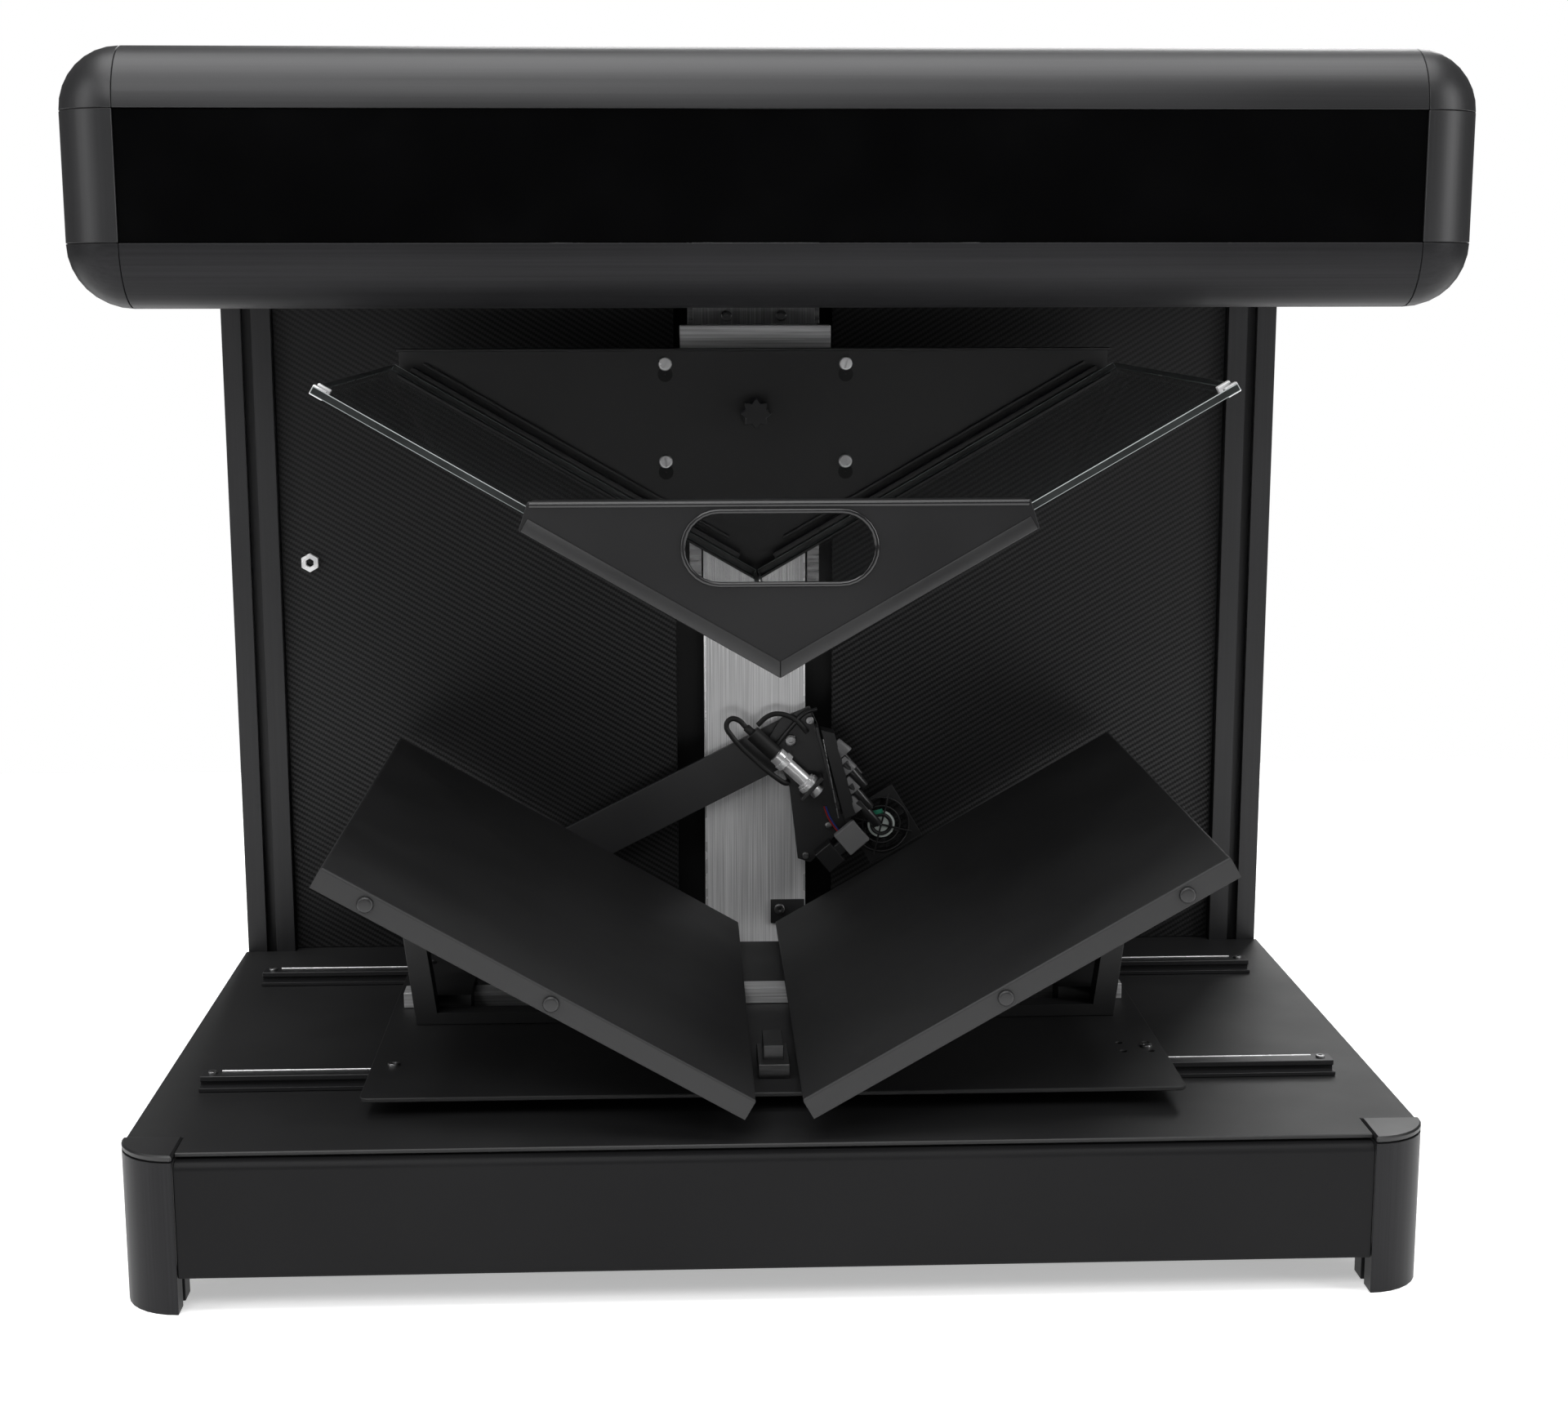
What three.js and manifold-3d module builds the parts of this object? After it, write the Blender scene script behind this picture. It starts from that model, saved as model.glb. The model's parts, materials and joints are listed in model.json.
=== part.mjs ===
// Automatic book scanner with a V-shaped cradle and a V-shaped glass platen.
// Millimetres, +Z up. X runs along the front, Y goes from the front edge to the back, Z starts at the
// floor. The machine stands on two quarter-round posts in front and two slotted uprights behind, which
// also carry the hood with the two cameras. The platen is lowered into the open book, the cradle rolls
// sideways and opens for the spine, and a suction head on a swinging arm turns the pages.
import * as THREE from 'three';
import { mergeVertices } from 'three/addons/utils/BufferGeometryUtils.js';
import Module from 'manifold-3d';

const wasm = await Module();
wasm.setup();

// ------------------------------------------------------------------ driving dimensions

const gap = 0.3;                // between pieces that touch
const slideGap = 1;             // between pieces that slide past each other
const sheet = 2;                // folded sheet steel
const slope = Math.PI / 6;      // each side of both Vs rises at 30 degrees

const baseWidth = 880;
const deckTop = 110;            // top of the base plate
const deckThickness = 3;
const profile = 40;             // slotted uprights and quarter-round profiles
const slotOpening = 8;
const uprightInset = 4;         // from the side of the base to the upright

const hoodOverhang = 6;         // of the hood beyond each side of the base
const hoodTop = 818;
const hoodHeight = 161;
const hoodFront = 11;
const hoodWall = 2;

const columnWidth = 86;
const columnDepth = 14;
const channelWidth = 23;        // dark slot on each side of the column

const cradleFront = 10;
const cradleDepth = 467;
const cradleSide = 325;         // width of one cradle plate along its slope
const cradleRim = 16;           // height of its folded rim
const cradleEdgeX = 15;         // half the gap between the two plates

const glassThickness = 5;
const frontPlateHalf = 163;     // half the width of the platen's front plate
const handSlot = { half: 38, radius: 22 };
const platenHeadroom = 35;      // between the raised platen's back plate and the hood

const armLength = 262;
const armWidth = 38;
const armThickness = 5;
const armTilt = 26.8 * Math.PI / 180;
const headSheet = 2.5;
const fanSide = 50;
const fanThickness = 10;
const suctionDepth = 9.1;       // of the suction head, front to back

// ------------------------------------------------------------------ sizes that follow

const tan = Math.tan(slope);
const cos = Math.cos(slope);
const halfBase = baseWidth / 2;
const halfHood = halfBase + hoodOverhang;
const halfColumn = columnWidth / 2;
const hoodBottom = hoodTop - hoodHeight;
const deckBottom = deckTop - deckThickness;
const onDeck = deckTop + gap;
const cradleBack = cradleFront + cradleDepth;
const cradleOuter = cradleEdgeX + cradleSide * cos;

// Behind the cradle, one after the other: suction head, fan, head plate, arm, wall.
const headFront = cradleBack + 2 * slideGap;
const suctionFront = headFront + gap;
const suctionBack = suctionFront + suctionDepth;
const fanFront = suctionBack + gap;
const fanBack = fanFront + fanThickness;
const headFace = fanBack + gap;
const headBack = headFace + headSheet;
const armFront = headBack + 1.5;
const armBack = armFront + armThickness;
const wallFront = armBack + 5;

const wallBack = wallFront + profile;
const machineBack = wallBack + 13;
const panelFront = wallFront + 10;
const panelThickness = 3;
const uprightOuter = halfBase - uprightInset;
const uprightInner = uprightOuter - profile;

// The uprights end under the rounded upper edges of the hood.
const windowHalf = halfHood - profile;
const windowTop = hoodTop - profile;
const windowBottom = hoodBottom + profile;
const edgeInside = profile - hoodWall - slideGap;
const uprightTop = windowTop + Math.sqrt(edgeInside ** 2 - (uprightOuter - windowHalf) ** 2);

// ------------------------------------------------------------------ shape helpers

const outline = (points) => new THREE.Shape(points.map(([u, v]) => new THREE.Vector2(u, v)));

function extrude(points, depth) {
  return new THREE.ExtrudeGeometry(outline(points), { depth, bevelEnabled: false });
}

// Outline in X-Y, raised along Z.
const alongZ = (points, low, high) => extrude(points, high - low).translate(0, 0, low);

// Outline in X-Z, drawn back along Y.
const alongY = (points, low, high) =>
  extrude(points, high - low).rotateX(Math.PI / 2).translate(0, high, 0);

// Outline in Y-Z, drawn along X.
const turnToX = new THREE.Matrix4().set(0, 0, 1, 0, 1, 0, 0, 0, 0, 1, 0, 0, 0, 0, 0, 1);
const alongX = (points, low, high) =>
  extrude(points, high - low).applyMatrix4(turnToX).translate(low, 0, 0);

function block([x0, x1], [y0, y1], [z0, z1]) {
  return new THREE.BoxGeometry(x1 - x0, y1 - y0, z1 - z0)
    .translate((x0 + x1) / 2, (y0 + y1) / 2, (z0 + z1) / 2);
}

// A round bar along Y, the direction of every shaft in this machine.
function barY(radius, [x, z], low, high, sides = 20) {
  return new THREE.CylinderGeometry(radius, radius, high - low, sides)
    .translate(x, (low + high) / 2, z);
}

// A round bar up Z, for holes through the carriage sheet.
function barZ(radius, [x, y], low, high, sides = 12) {
  return new THREE.CylinderGeometry(radius, radius, high - low, sides)
    .rotateX(Math.PI / 2).translate(x, y, (low + high) / 2);
}

function arc([u, v], radius, from, to, steps = 8) {
  return Array.from({ length: steps + 1 }, (_, i) => {
    const angle = from + (to - from) * i / steps;
    return [u + radius * Math.cos(angle), v + radius * Math.sin(angle)];
  });
}

const mirrored = (points, side) => points.map(([u, v]) => [side * u, v]);

function solid(geometry) {
  const plain = geometry.clone();
  plain.deleteAttribute('normal');
  plain.deleteAttribute('uv');
  const merged = mergeVertices(plain, 1e-4);
  return new wasm.Manifold(new wasm.Mesh({
    numProp: 3,
    vertProperties: Float32Array.from(merged.attributes.position.array),
    triVerts: Uint32Array.from(merged.index.array),
  }));
}

function geometryOf(manifold) {
  const mesh = manifold.getMesh();
  const geometry = new THREE.BufferGeometry();
  geometry.setAttribute('position', new THREE.BufferAttribute(mesh.vertProperties, 3));
  geometry.setIndex(new THREE.BufferAttribute(mesh.triVerts, 1));
  geometry.computeVertexNormals();
  return geometry;
}

const join = (...pieces) => geometryOf(pieces.map(solid).reduce((a, b) => a.add(b)));
const cut = (piece, ...tools) =>
  geometryOf(tools.map(solid).reduce((a, b) => a.subtract(b), solid(piece)));
const common = (a, b) => geometryOf(solid(a).intersect(solid(b)));

// ------------------------------------------------------------------ materials

const paint = (color, roughness, metalness = 0) =>
  new THREE.MeshStandardMaterial({ color, roughness, metalness });
const blackAnodised = paint(0x1b1b1d, 0.42, 0.4);
const blackPowder = paint(0x161617, 0.7, 0.1);
const blackPlastic = paint(0x121213, 0.55);
const blackGloss = paint(0x050506, 0.12);
const carbonLook = paint(0x101112, 0.5);
const brushedAluminium = paint(0xb9babb, 0.35, 1);
const steel = paint(0xc8c9ca, 0.3, 1);
const greyPlastic = paint(0x6d7074, 0.5);
const smokedGlass = paint(0x1c2022, 0.05);
const lampWhite = paint(0xf2f1ea, 0.4);
const rubber = paint(0x1a1a1a, 0.8);

const scanner = new THREE.Group();

function add(name, geometry, material, parent = scanner) {
  const mesh = new THREE.Mesh(geometry, material);
  mesh.name = name;
  parent.add(mesh);
  return mesh;
}

const sides = [['left', -1], ['right', 1]];

// ------------------------------------------------------------------ base

// Quarter-round post: round towards the outer front corner, a T-slot in each flat inner face.
function quarterPost() {
  const inner = halfBase - profile;
  const mid = profile / 2;
  const half = slotOpening / 2;
  const lip = 3.5;
  const wide = 8;
  const deep = mid - 10;
  const slot = [[half, 0], [half, lip], [wide, lip], [wide, deep], [-wide, deep], [-wide, lip],
    [-half, lip], [-half, 0]];
  return [
    [inner, 0], ...arc([inner, profile], profile, -Math.PI / 2, 0),
    ...slot.map(([across, into]) => [inner + mid + across, profile - into]),
    [inner, profile],
    ...slot.map(([across, into]) => [inner + into, mid + across]),
  ];
}

const capThickness = 4;
const postTop = deckTop - capThickness;

for (const [name, side] of sides) {
  add(`front_post_${name}`, alongZ(mirrored(quarterPost(), side), 0, postTop), blackAnodised);
  const cap = [[halfBase - profile, 0], ...arc([halfBase - profile, profile], profile, -Math.PI / 2, 0),
    [halfBase - profile, profile]];
  add(`post_cap_${name}`, alongZ(mirrored(cap, side), postTop + gap, deckTop + 1), blackPlastic);
}

// Front beam: a folded channel with a rounded upper edge.
const beamBottom = 25;
const beamTop = deckBottom - 1.5;
const beamFront = 1;
const beamDepth = 20;
const beamWall = 2.5;
const beamRound = 6;
const beamEnd = halfBase - profile - gap;
add('front_beam', alongX([
  [beamFront, beamBottom],
  [beamFront + beamDepth, beamBottom],
  [beamFront + beamDepth, beamBottom + beamWall],
  [beamFront + beamWall, beamBottom + beamWall],
  [beamFront + beamWall, beamTop - beamRound],
  [beamFront + beamRound, beamTop - beamWall],
  [beamFront + beamDepth, beamTop - beamWall],
  [beamFront + beamDepth, beamTop],
  ...arc([beamFront + beamRound, beamTop - beamRound], beamRound, Math.PI / 2, Math.PI, 5),
], -beamEnd, beamEnd), blackAnodised);

// The base plate starts just behind the beam's rounded edge and passes between posts and uprights.
const deckFront = beamFront + beamRound + 2;
const deckSide = halfBase - sheet;
const deckBack = wallBack - 8;    // leaves room for the belt
const deckHalf = [
  [beamEnd, deckFront], [beamEnd, profile + gap + slideGap], [deckSide, profile + gap + slideGap],
  [deckSide, wallFront - gap], [uprightInner - gap, wallFront - gap], [uprightInner - gap, deckBack],
];
add('base_plate', alongZ([...deckHalf, ...mirrored(deckHalf, -1).reverse()], deckBottom, deckTop),
  blackPowder);

// Skirt: the side walls turn in along the front of the uprights and close across the back.
const skirtWall = 2.5;
const motorHalf = 28;
const motorShaft = [0, deckBottom - motorHalf - 11];
function skirtLine(inset) {
  const side = deckSide - inset;
  const corner = wallFront - slideGap - inset;
  const inside = uprightInner - gap - inset;
  return [[side, profile + gap + slideGap], [side, corner], [inside, corner], [inside, deckBack - inset]];
}
const skirtOuter = [...skirtLine(0), ...mirrored(skirtLine(0), -1).reverse()];
const skirtInner = [...mirrored(skirtLine(skirtWall), -1), ...skirtLine(skirtWall).reverse()];
add('base_skirt', cut(
  alongZ([...skirtOuter, ...skirtInner], beamBottom, deckBottom - gap),
  barY(7, motorShaft, deckBack - 10, deckBack + 5),
), blackPowder);

// ------------------------------------------------------------------ back wall

// Square profile with a T-slot in each face.
function slottedSection(x, y) {
  const h = profile / 2;
  const half = slotOpening / 2;
  const lip = h - 4.5;
  const core = 8;
  const face = [
    [h, -half], [lip, -half], [lip, -9], [core + 4, -9], [core, -5], [core, 5], [core + 4, 9],
    [lip, 9], [lip, half], [h, half], [h, h],
  ];
  const points = [];
  for (let turn = 0; turn < 4; turn += 1) {
    const c = Math.cos(turn * Math.PI / 2);
    const s = Math.sin(turn * Math.PI / 2);
    points.push(...face.map(([u, v]) => [x + u * c - v * s, y + u * s + v * c]));
  }
  return points;
}

for (const [name, side] of sides) {
  const centre = side * (uprightOuter - profile / 2);
  add(`upright_${name}`, alongZ(slottedSection(centre, wallFront + profile / 2), 0, uprightTop),
    blackAnodised);
}

// Two panels close the wall; the left one lets the arm's shaft through.
const armPivot = [-204, deckTop + 65];
const shaftRadius = 6;
const panelInner = halfColumn + channelWidth;
const panelTop = uprightTop - 10;
for (const [name, side] of sides) {
  const across = [side * panelInner, side * (uprightInner - gap)].sort((a, b) => a - b);
  const panel = block(across, [panelFront, panelFront + panelThickness], [onDeck, panelTop]);
  const hole = barY(shaftRadius + slideGap, armPivot, panelFront - 5, panelFront + 10);
  add(`back_panel_${name}`, side < 0 ? cut(panel, hole) : panel, carbonLook);
}

// The column is an extrusion whose back carries the guide rail of the platen's carriage.
const railHalf = 10;
const columnBack = wallFront + columnDepth;
const railBack = columnBack + 10;
const columnHalf = [
  [halfColumn - 1, wallFront], [halfColumn, wallFront + 1], [halfColumn, columnBack],
  [railHalf - 3, columnBack], [railHalf - 3, railBack - 5], [railHalf, railBack - 5],
  [railHalf, railBack],
];
add('axis_column', alongZ([...columnHalf, ...mirrored(columnHalf, -1).reverse()], onDeck, uprightTop),
  brushedAluminium);

// Rear cover: a shallow tray screwed to the back of the uprights, with vents behind both panels.
const beltNotch = 22;
const coverBottom = 20;
const coverTop = hoodBottom - slideGap;
const ventMiddle = (panelInner + uprightInner) / 2;
const ventHeight = 60;
const vents = [];
for (const [, side] of sides) {
  for (const low of [onDeck + 40, coverTop - 116]) {
    for (let step = -3; step <= 3; step += 1) {
      const x = side * ventMiddle + step * 24;
      vents.push(block([x - 4, x + 4], [machineBack - 5, machineBack + 5], [low, low + ventHeight]));
    }
  }
}
add('rear_cover', cut(
  block([-uprightOuter, uprightOuter], [wallBack + gap, machineBack], [coverBottom, coverTop]),
  block([sheet - uprightOuter, uprightOuter - sheet], [wallBack - 1, machineBack - sheet],
    [coverBottom + sheet, coverTop - sheet]),
  block([-beltNotch, beltNotch], [wallBack - 1, wallBack + 8], [coverTop - 5, coverTop + 5]),
  ...vents,
), blackPowder);

// Mains inlet on the rear cover, near the floor.
const inlet = [106 - uprightOuter, 60];
add('power_inlet', cut(
  block([inlet[0] - 24, inlet[0] + 24], [machineBack + gap, machineBack + 4],
    [inlet[1] - 15, inlet[1] + 15]),
  block([inlet[0] - 13, inlet[0] + 13], [machineBack + 1.5, machineBack + 6],
    [inlet[1] - 9, inlet[1] + 9]),
), blackPlastic);

// ------------------------------------------------------------------ lift drive

// A motor below the deck drives a toothed belt that runs up behind the column.
const beltRadius = 12;
const beltThickness = 1.5;
const beltFront = deckBack + 3;
const beltBack = beltFront + 8;
const upperPulley = [0, uprightTop - 20];
const motorBack = deckBack - skirtWall - slideGap;
add('lift_motor', join(
  block([-motorHalf, motorHalf], [motorBack - 56, motorBack],
    [motorShaft[1] - motorHalf, motorShaft[1] + motorHalf]),
  barY(19, motorShaft, motorBack - 60, motorBack - 50),
), blackAnodised);

const pulley = (centre, shaftFront) => join(
  barY(beltRadius - gap, centre, beltFront - 0.5, beltBack + 0.5, 24),
  barY(4, centre, shaftFront, beltBack + 1.5, 12),
);
add('pulley_lower', pulley(motorShaft, motorBack + gap), steel);
add('pulley_upper', pulley(upperPulley, railBack + gap), steel);

function beltLoop(radius, low, high) {
  return alongY([
    ...arc(upperPulley, radius, 0, Math.PI, 10),
    ...arc(motorShaft, radius, Math.PI, 2 * Math.PI, 10),
  ], low, high);
}
add('lift_belt', cut(
  beltLoop(beltRadius + beltThickness, beltFront, beltBack),
  beltLoop(beltRadius, beltFront - 5, beltBack + 5),
), rubber);

// ------------------------------------------------------------------ rails and cradle carriage

const frontRail = cradleFront + 137;
const rearRail = cradleBack - 60;
const railTop = deckTop + 10;
const railEnd = halfBase - 33;
const stripHalf = 14;
const stripTop = onDeck + 3;
const railWidth = 16;
const railNeck = 5;

const slideSection = (y) => {
  const half = [[stripHalf, onDeck], [stripHalf, stripTop], [railNeck, stripTop],
    [railNeck, stripTop + 2], [railWidth / 2, stripTop + 3], [railWidth / 2, railTop]];
  return [...half.map(([u, v]) => [y + u, v]), ...half.map(([u, v]) => [y - u, v]).reverse()];
};
add('front_slide_rail', alongX(slideSection(frontRail), -railEnd, railEnd), blackAnodised);
add('rear_slide_rail', alongX(slideSection(rearRail), -railEnd, railEnd), blackAnodised);

const carriageHalf = cradleOuter - 10.5;
const carriageFront = cradleFront + 60;
const carriageBack = cradleBack - 7;
const carriageBottom = railTop + 2;
const carriageTop = carriageBottom + 3;
const runnerHalf = 13;
const runnerLength = carriageHalf - 46;

// Each runner straddles its rail and is screwed under the sheet.
const runnerSection = (y) => {
  const clear = railWidth / 2 + 0.5;
  return [
    [y - runnerHalf, stripTop + 1], [y - clear, stripTop + 1], [y - clear, railTop + 0.5],
    [y + clear, railTop + 0.5], [y + clear, stripTop + 1], [y + runnerHalf, stripTop + 1],
    [y + runnerHalf, carriageBottom - gap], [y - runnerHalf, carriageBottom - gap],
  ];
};
add('front_runner', alongX(runnerSection(frontRail), -runnerLength, runnerLength), greyPlastic);
add('rear_runner', alongX(runnerSection(rearRail), -runnerLength, runnerLength), greyPlastic);

const corner = 6;
const sheetOutline = [
  ...arc([carriageHalf - corner, carriageFront + corner], corner, -Math.PI / 2, 0, 3),
  ...arc([carriageHalf - corner, carriageBack - corner], corner, 0, Math.PI / 2, 3),
  ...arc([corner - carriageHalf, carriageBack - corner], corner, Math.PI / 2, Math.PI, 3),
  ...arc([corner - carriageHalf, carriageFront + corner], corner, Math.PI, 1.5 * Math.PI, 3),
];
const barFront = cradleBack - 192;
const barBack = barFront + 20;
const supportFront = barFront - 45;
const holeRadius = 2.5;
const holeRow = [0, 1, 2, 3, 4].map((step) => [76 - carriageHalf + step * 11, supportFront + 3]);
const holeSquare = [30, 10].flatMap((inset) =>
  [82, 102].map((back) => [carriageHalf - inset, carriageFront + back]));
add('carriage_sheet', cut(
  alongZ(sheetOutline, carriageBottom, carriageTop),
  ...[...holeRow, ...holeSquare].map((at) => barZ(holeRadius, at, carriageBottom - 2, carriageTop + 2)),
), blackPowder);

// The inner rims of the cradle just clear the sheet, and the bar just clears the cradle plates.
const onSheet = carriageTop + gap;
const cradleEdgeZ = carriageTop + cradleRim * cos + 1.15;
const underPlate = (x) => cradleEdgeZ + (x - cradleEdgeX) * tan - (sheet + gap) / cos;
const barTop = underPlate(cradleEdgeX);

// The two halves of the cradle ride on this bar when they open for the spine.
add('spread_bar', block([8 - carriageHalf, carriageHalf - 8], [barFront, barBack], [onSheet, barTop]),
  brushedAluminium);

// Clamp that fixes the opening, between the plates near the front.
const clampHalf = cradleEdgeX - 4;
const clampFront = carriageFront + 30;
add('spread_clamp', join(
  block([-clampHalf, clampHalf], [clampFront, clampFront + 50], [onSheet, onSheet + 10]),
  block([4 - clampHalf, clampHalf - 4], [clampFront + 12, clampFront + 50], [onSheet + 8, onSheet + 20]),
), steel);

// ------------------------------------------------------------------ cradle halves

// One plate is a tray with its rim folded down, made flat and then tilted about its inner edge. The
// inner rim is notched over the bar.
function cradleTray(side) {
  const span = (from, to) => [side * from, side * to].sort((a, b) => a - b);
  return cut(
    block(span(0, cradleSide), [cradleFront, cradleBack], [-cradleRim, 0]),
    block(span(sheet, cradleSide - sheet), [cradleFront + sheet, cradleBack - sheet],
      [-cradleRim - 5, -sheet]),
    block(span(-1, sheet + 2), [barFront - slideGap, barBack + slideGap], [-cradleRim - 1, -sheet - 0.7]),
  );
}

// Support: a foot along the sheet, a low inner stud, a tall leaning outer leg, and two shoes that
// slide on the bar.
const footBack = barBack + 14;
const legThickness = 18;
const legWidth = 16;
const shoeRise = 6;
function cradleSupport(side) {
  const footInner = cradleEdgeX + 17;
  const footOuter = carriageHalf - 22;
  const footTop = onSheet + 9;
  const legTopX = carriageHalf - 2;
  const frame = [
    [footInner, onSheet], [footOuter, onSheet], [legTopX, underPlate(legTopX)],
    [legTopX - legWidth, underPlate(legTopX - legWidth)], [footOuter - legWidth, footTop],
    [footInner + legWidth, footTop], [footInner + legWidth, underPlate(footInner + legWidth)],
    [footInner, underPlate(footInner)],
  ];
  const shoe = (from, to) => block([side * from, side * to].sort((a, b) => a - b),
    [supportFront + legThickness - 1, footBack], [onSheet, barTop + shoeRise]);
  const barWay = block([-carriageHalf, carriageHalf], [barFront - 0.5, barBack + 0.5],
    [onSheet - 5, barTop + 0.5]);
  return cut(join(
    alongY(mirrored(frame, side), supportFront, supportFront + legThickness),
    shoe(footOuter - 40, footOuter),
    shoe(footInner, footInner + 30),
  ), barWay);
}

for (const [name, side] of sides) {
  const plate = add(`cradle_plate_${name}`, cradleTray(side), blackPowder);
  plate.position.set(side * cradleEdgeX, 0, cradleEdgeZ);
  plate.rotation.y = -side * slope;
  add(`cradle_support_${name}`, cradleSupport(side), blackAnodised);
}

// ------------------------------------------------------------------ platen

// The raised platen hangs just below the hood: from the top of its back plate down to the point
// where the undersides of the two panes would meet.
const glassReach = cradleOuter - 5.5;
const glassFront = cradleFront - 10;
const glassBack = cradleBack - 29;
const backPlateHalf = glassReach - 5;
const backPlateTop = hoodBottom - platenHeadroom;
const glassApex = backPlateTop - 18.9 - backPlateHalf * tan;

// Height of a plane that lies this far under the panes, at the middle of the V.
const underGlass = (distance) => glassApex - distance / cos;

// Panes: made flat with the mitred inner edge clear of the other pane, then tilted.
for (const [name, side] of sides) {
  const innerEdge = glassThickness * tan + gap;
  const span = [side * innerEdge, side * glassReach / cos].sort((a, b) => a - b);
  const pane = add(`glass_${name}`,
    block(span, [glassFront, glassBack], [0, glassThickness]), smokedGlass);
  pane.position.z = glassApex;
  pane.rotation.y = -side * slope;
}

// Back plate: a V with a folded rim that carries the panes, and a folded upper edge.
const backPlateRear = glassBack + 14;
const backPlateFront = glassBack - 6;
const vOutline = (half, apex, top) => [[0, apex], [half, apex + half * tan], [half, top],
  [-half, top], [-half, apex + half * tan]];
const knobCentre = [0, backPlateTop - 52];
add('platen_back_plate', cut(
  alongY(vOutline(backPlateHalf, underGlass(gap + sheet), backPlateTop), backPlateFront, backPlateRear),
  alongY(vOutline(backPlateHalf + 20, underGlass(gap), backPlateTop - sheet),
    backPlateFront - 5, backPlateRear - sheet),
), blackPowder);

// Front plate with the hand slot, a shelf for the panes and a folded upper edge.
const frontPlateFace = glassFront - 16;
const frontPlateApex = glassApex - 10.5;
const frontPlateShoulder = frontPlateApex + frontPlateHalf * tan;
const frontPlateTop = frontPlateShoulder + 17.9;
const shelfBack = cradleFront - 2;
const shelfHalf = frontPlateHalf - 8;
const slotHeight = frontPlateTop - handSlot.radius - 7.5;
const slotOutline = [
  ...arc([handSlot.half, slotHeight], handSlot.radius, -Math.PI / 2, Math.PI / 2, 8),
  ...arc([-handSlot.half, slotHeight], handSlot.radius, Math.PI / 2, 1.5 * Math.PI, 8),
];
const faceOutline = [[0, frontPlateApex], [frontPlateHalf, frontPlateShoulder],
  [frontPlateHalf - 6, frontPlateTop], [6 - frontPlateHalf, frontPlateTop],
  [-frontPlateHalf, frontPlateShoulder]];
const shelfLine = (distance) => [-shelfHalf, 0, shelfHalf].map((u) =>
  [u, underGlass(distance) + Math.abs(u) * tan]);
add('platen_front_plate', cut(join(
  alongY(faceOutline, frontPlateFace, frontPlateFace + sheet),
  alongY([...shelfLine(gap + sheet), ...shelfLine(gap).reverse()], frontPlateFace + sheet - 1, shelfBack),
  block([-shelfHalf, shelfHalf], [frontPlateFace + 1, frontPlateFace + 14],
    [frontPlateTop - sheet, frontPlateTop]),
), alongY(slotOutline, frontPlateFace - 5, frontPlateFace + 5)), blackPowder);

// Star knob that clamps the back plate to its bracket.
const knobRadius = 12.5;
const knobPoints = 8;
const lobe = 1.8;
const star = Array.from({ length: knobPoints * 4 }, (_, i) => {
  const angle = i * 2 * Math.PI / (knobPoints * 4);
  const reach = knobRadius - lobe + lobe * Math.cos(angle * knobPoints);
  return [knobCentre[0] + reach * Math.cos(angle), knobCentre[1] + reach * Math.sin(angle)];
});
const knobBack = backPlateRear - sheet - gap;
add('star_knob', join(
  alongY(star, knobBack - 16, knobBack - 4),
  barY(7, knobCentre, knobBack - 6, knobBack, 16),
), blackPlastic);

// Bracket: a plate behind the back plate, and a thick bar above it that reaches the carriage.
const bracketFront = backPlateRear + gap;
const bracketTop = backPlateTop + 18;
const bracketBar = 12;
const bracketHalf = 61;
const plateFront = wallFront - 11;
const teeHalf = 84;
const tee = [[teeHalf, backPlateTop - 107], [teeHalf, backPlateTop - 2], [bracketHalf, backPlateTop - 2],
  [bracketHalf, bracketTop]];
add('platen_bracket', join(
  alongY([...tee, ...mirrored(tee, -1).reverse()], bracketFront, bracketFront + 6),
  block([-bracketHalf, bracketHalf], [bracketFront, plateFront - gap],
    [bracketTop - bracketBar, bracketTop]),
), brushedAluminium);

// The carriage reaches round the column through the two dark channels.
const saddleTop = bracketTop + 75;
const saddleBottom = saddleTop - 295;
const cheekInner = halfColumn + slideGap + gap;
const cheekOuter = cheekInner + 10;
const cheekFront = wallFront - 3;
const plateHalf = halfColumn + 7;
add('carriage_plate', block([-plateHalf, plateHalf], [plateFront, cheekFront - gap],
  [bracketTop + gap, saddleTop]), brushedAluminium);

const saddleFloor = railBack + slideGap;
const saddleHalf = [[cheekInner, cheekFront], [cheekOuter, cheekFront], [cheekOuter, deckBack + 1]];
const saddle = alongZ([
  [cheekInner, saddleFloor], ...saddleHalf, ...mirrored(saddleHalf, -1).reverse(),
  [-cheekInner, saddleFloor],
], saddleBottom, saddleTop);
const gripLength = 60;
const gripBlocks = [saddleBottom, saddleTop - gripLength].flatMap((low) => sides.map(([, side]) => block(
  [side * (railHalf + 0.5), side * (cheekInner + 1)].sort((a, b) => a - b),
  [columnBack + slideGap, saddleFloor + 1], [low, low + gripLength])));
const beltSide = beltRadius + beltThickness + 0.7;
const beltClamp = block([beltSide, beltSide + 6], [deckBack, beltBack],
  [saddleTop - 175, saddleTop - 115]);
add('carriage_saddle', join(saddle, ...gripBlocks, beltClamp), steel);

// ------------------------------------------------------------------ page-turning arm

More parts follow.
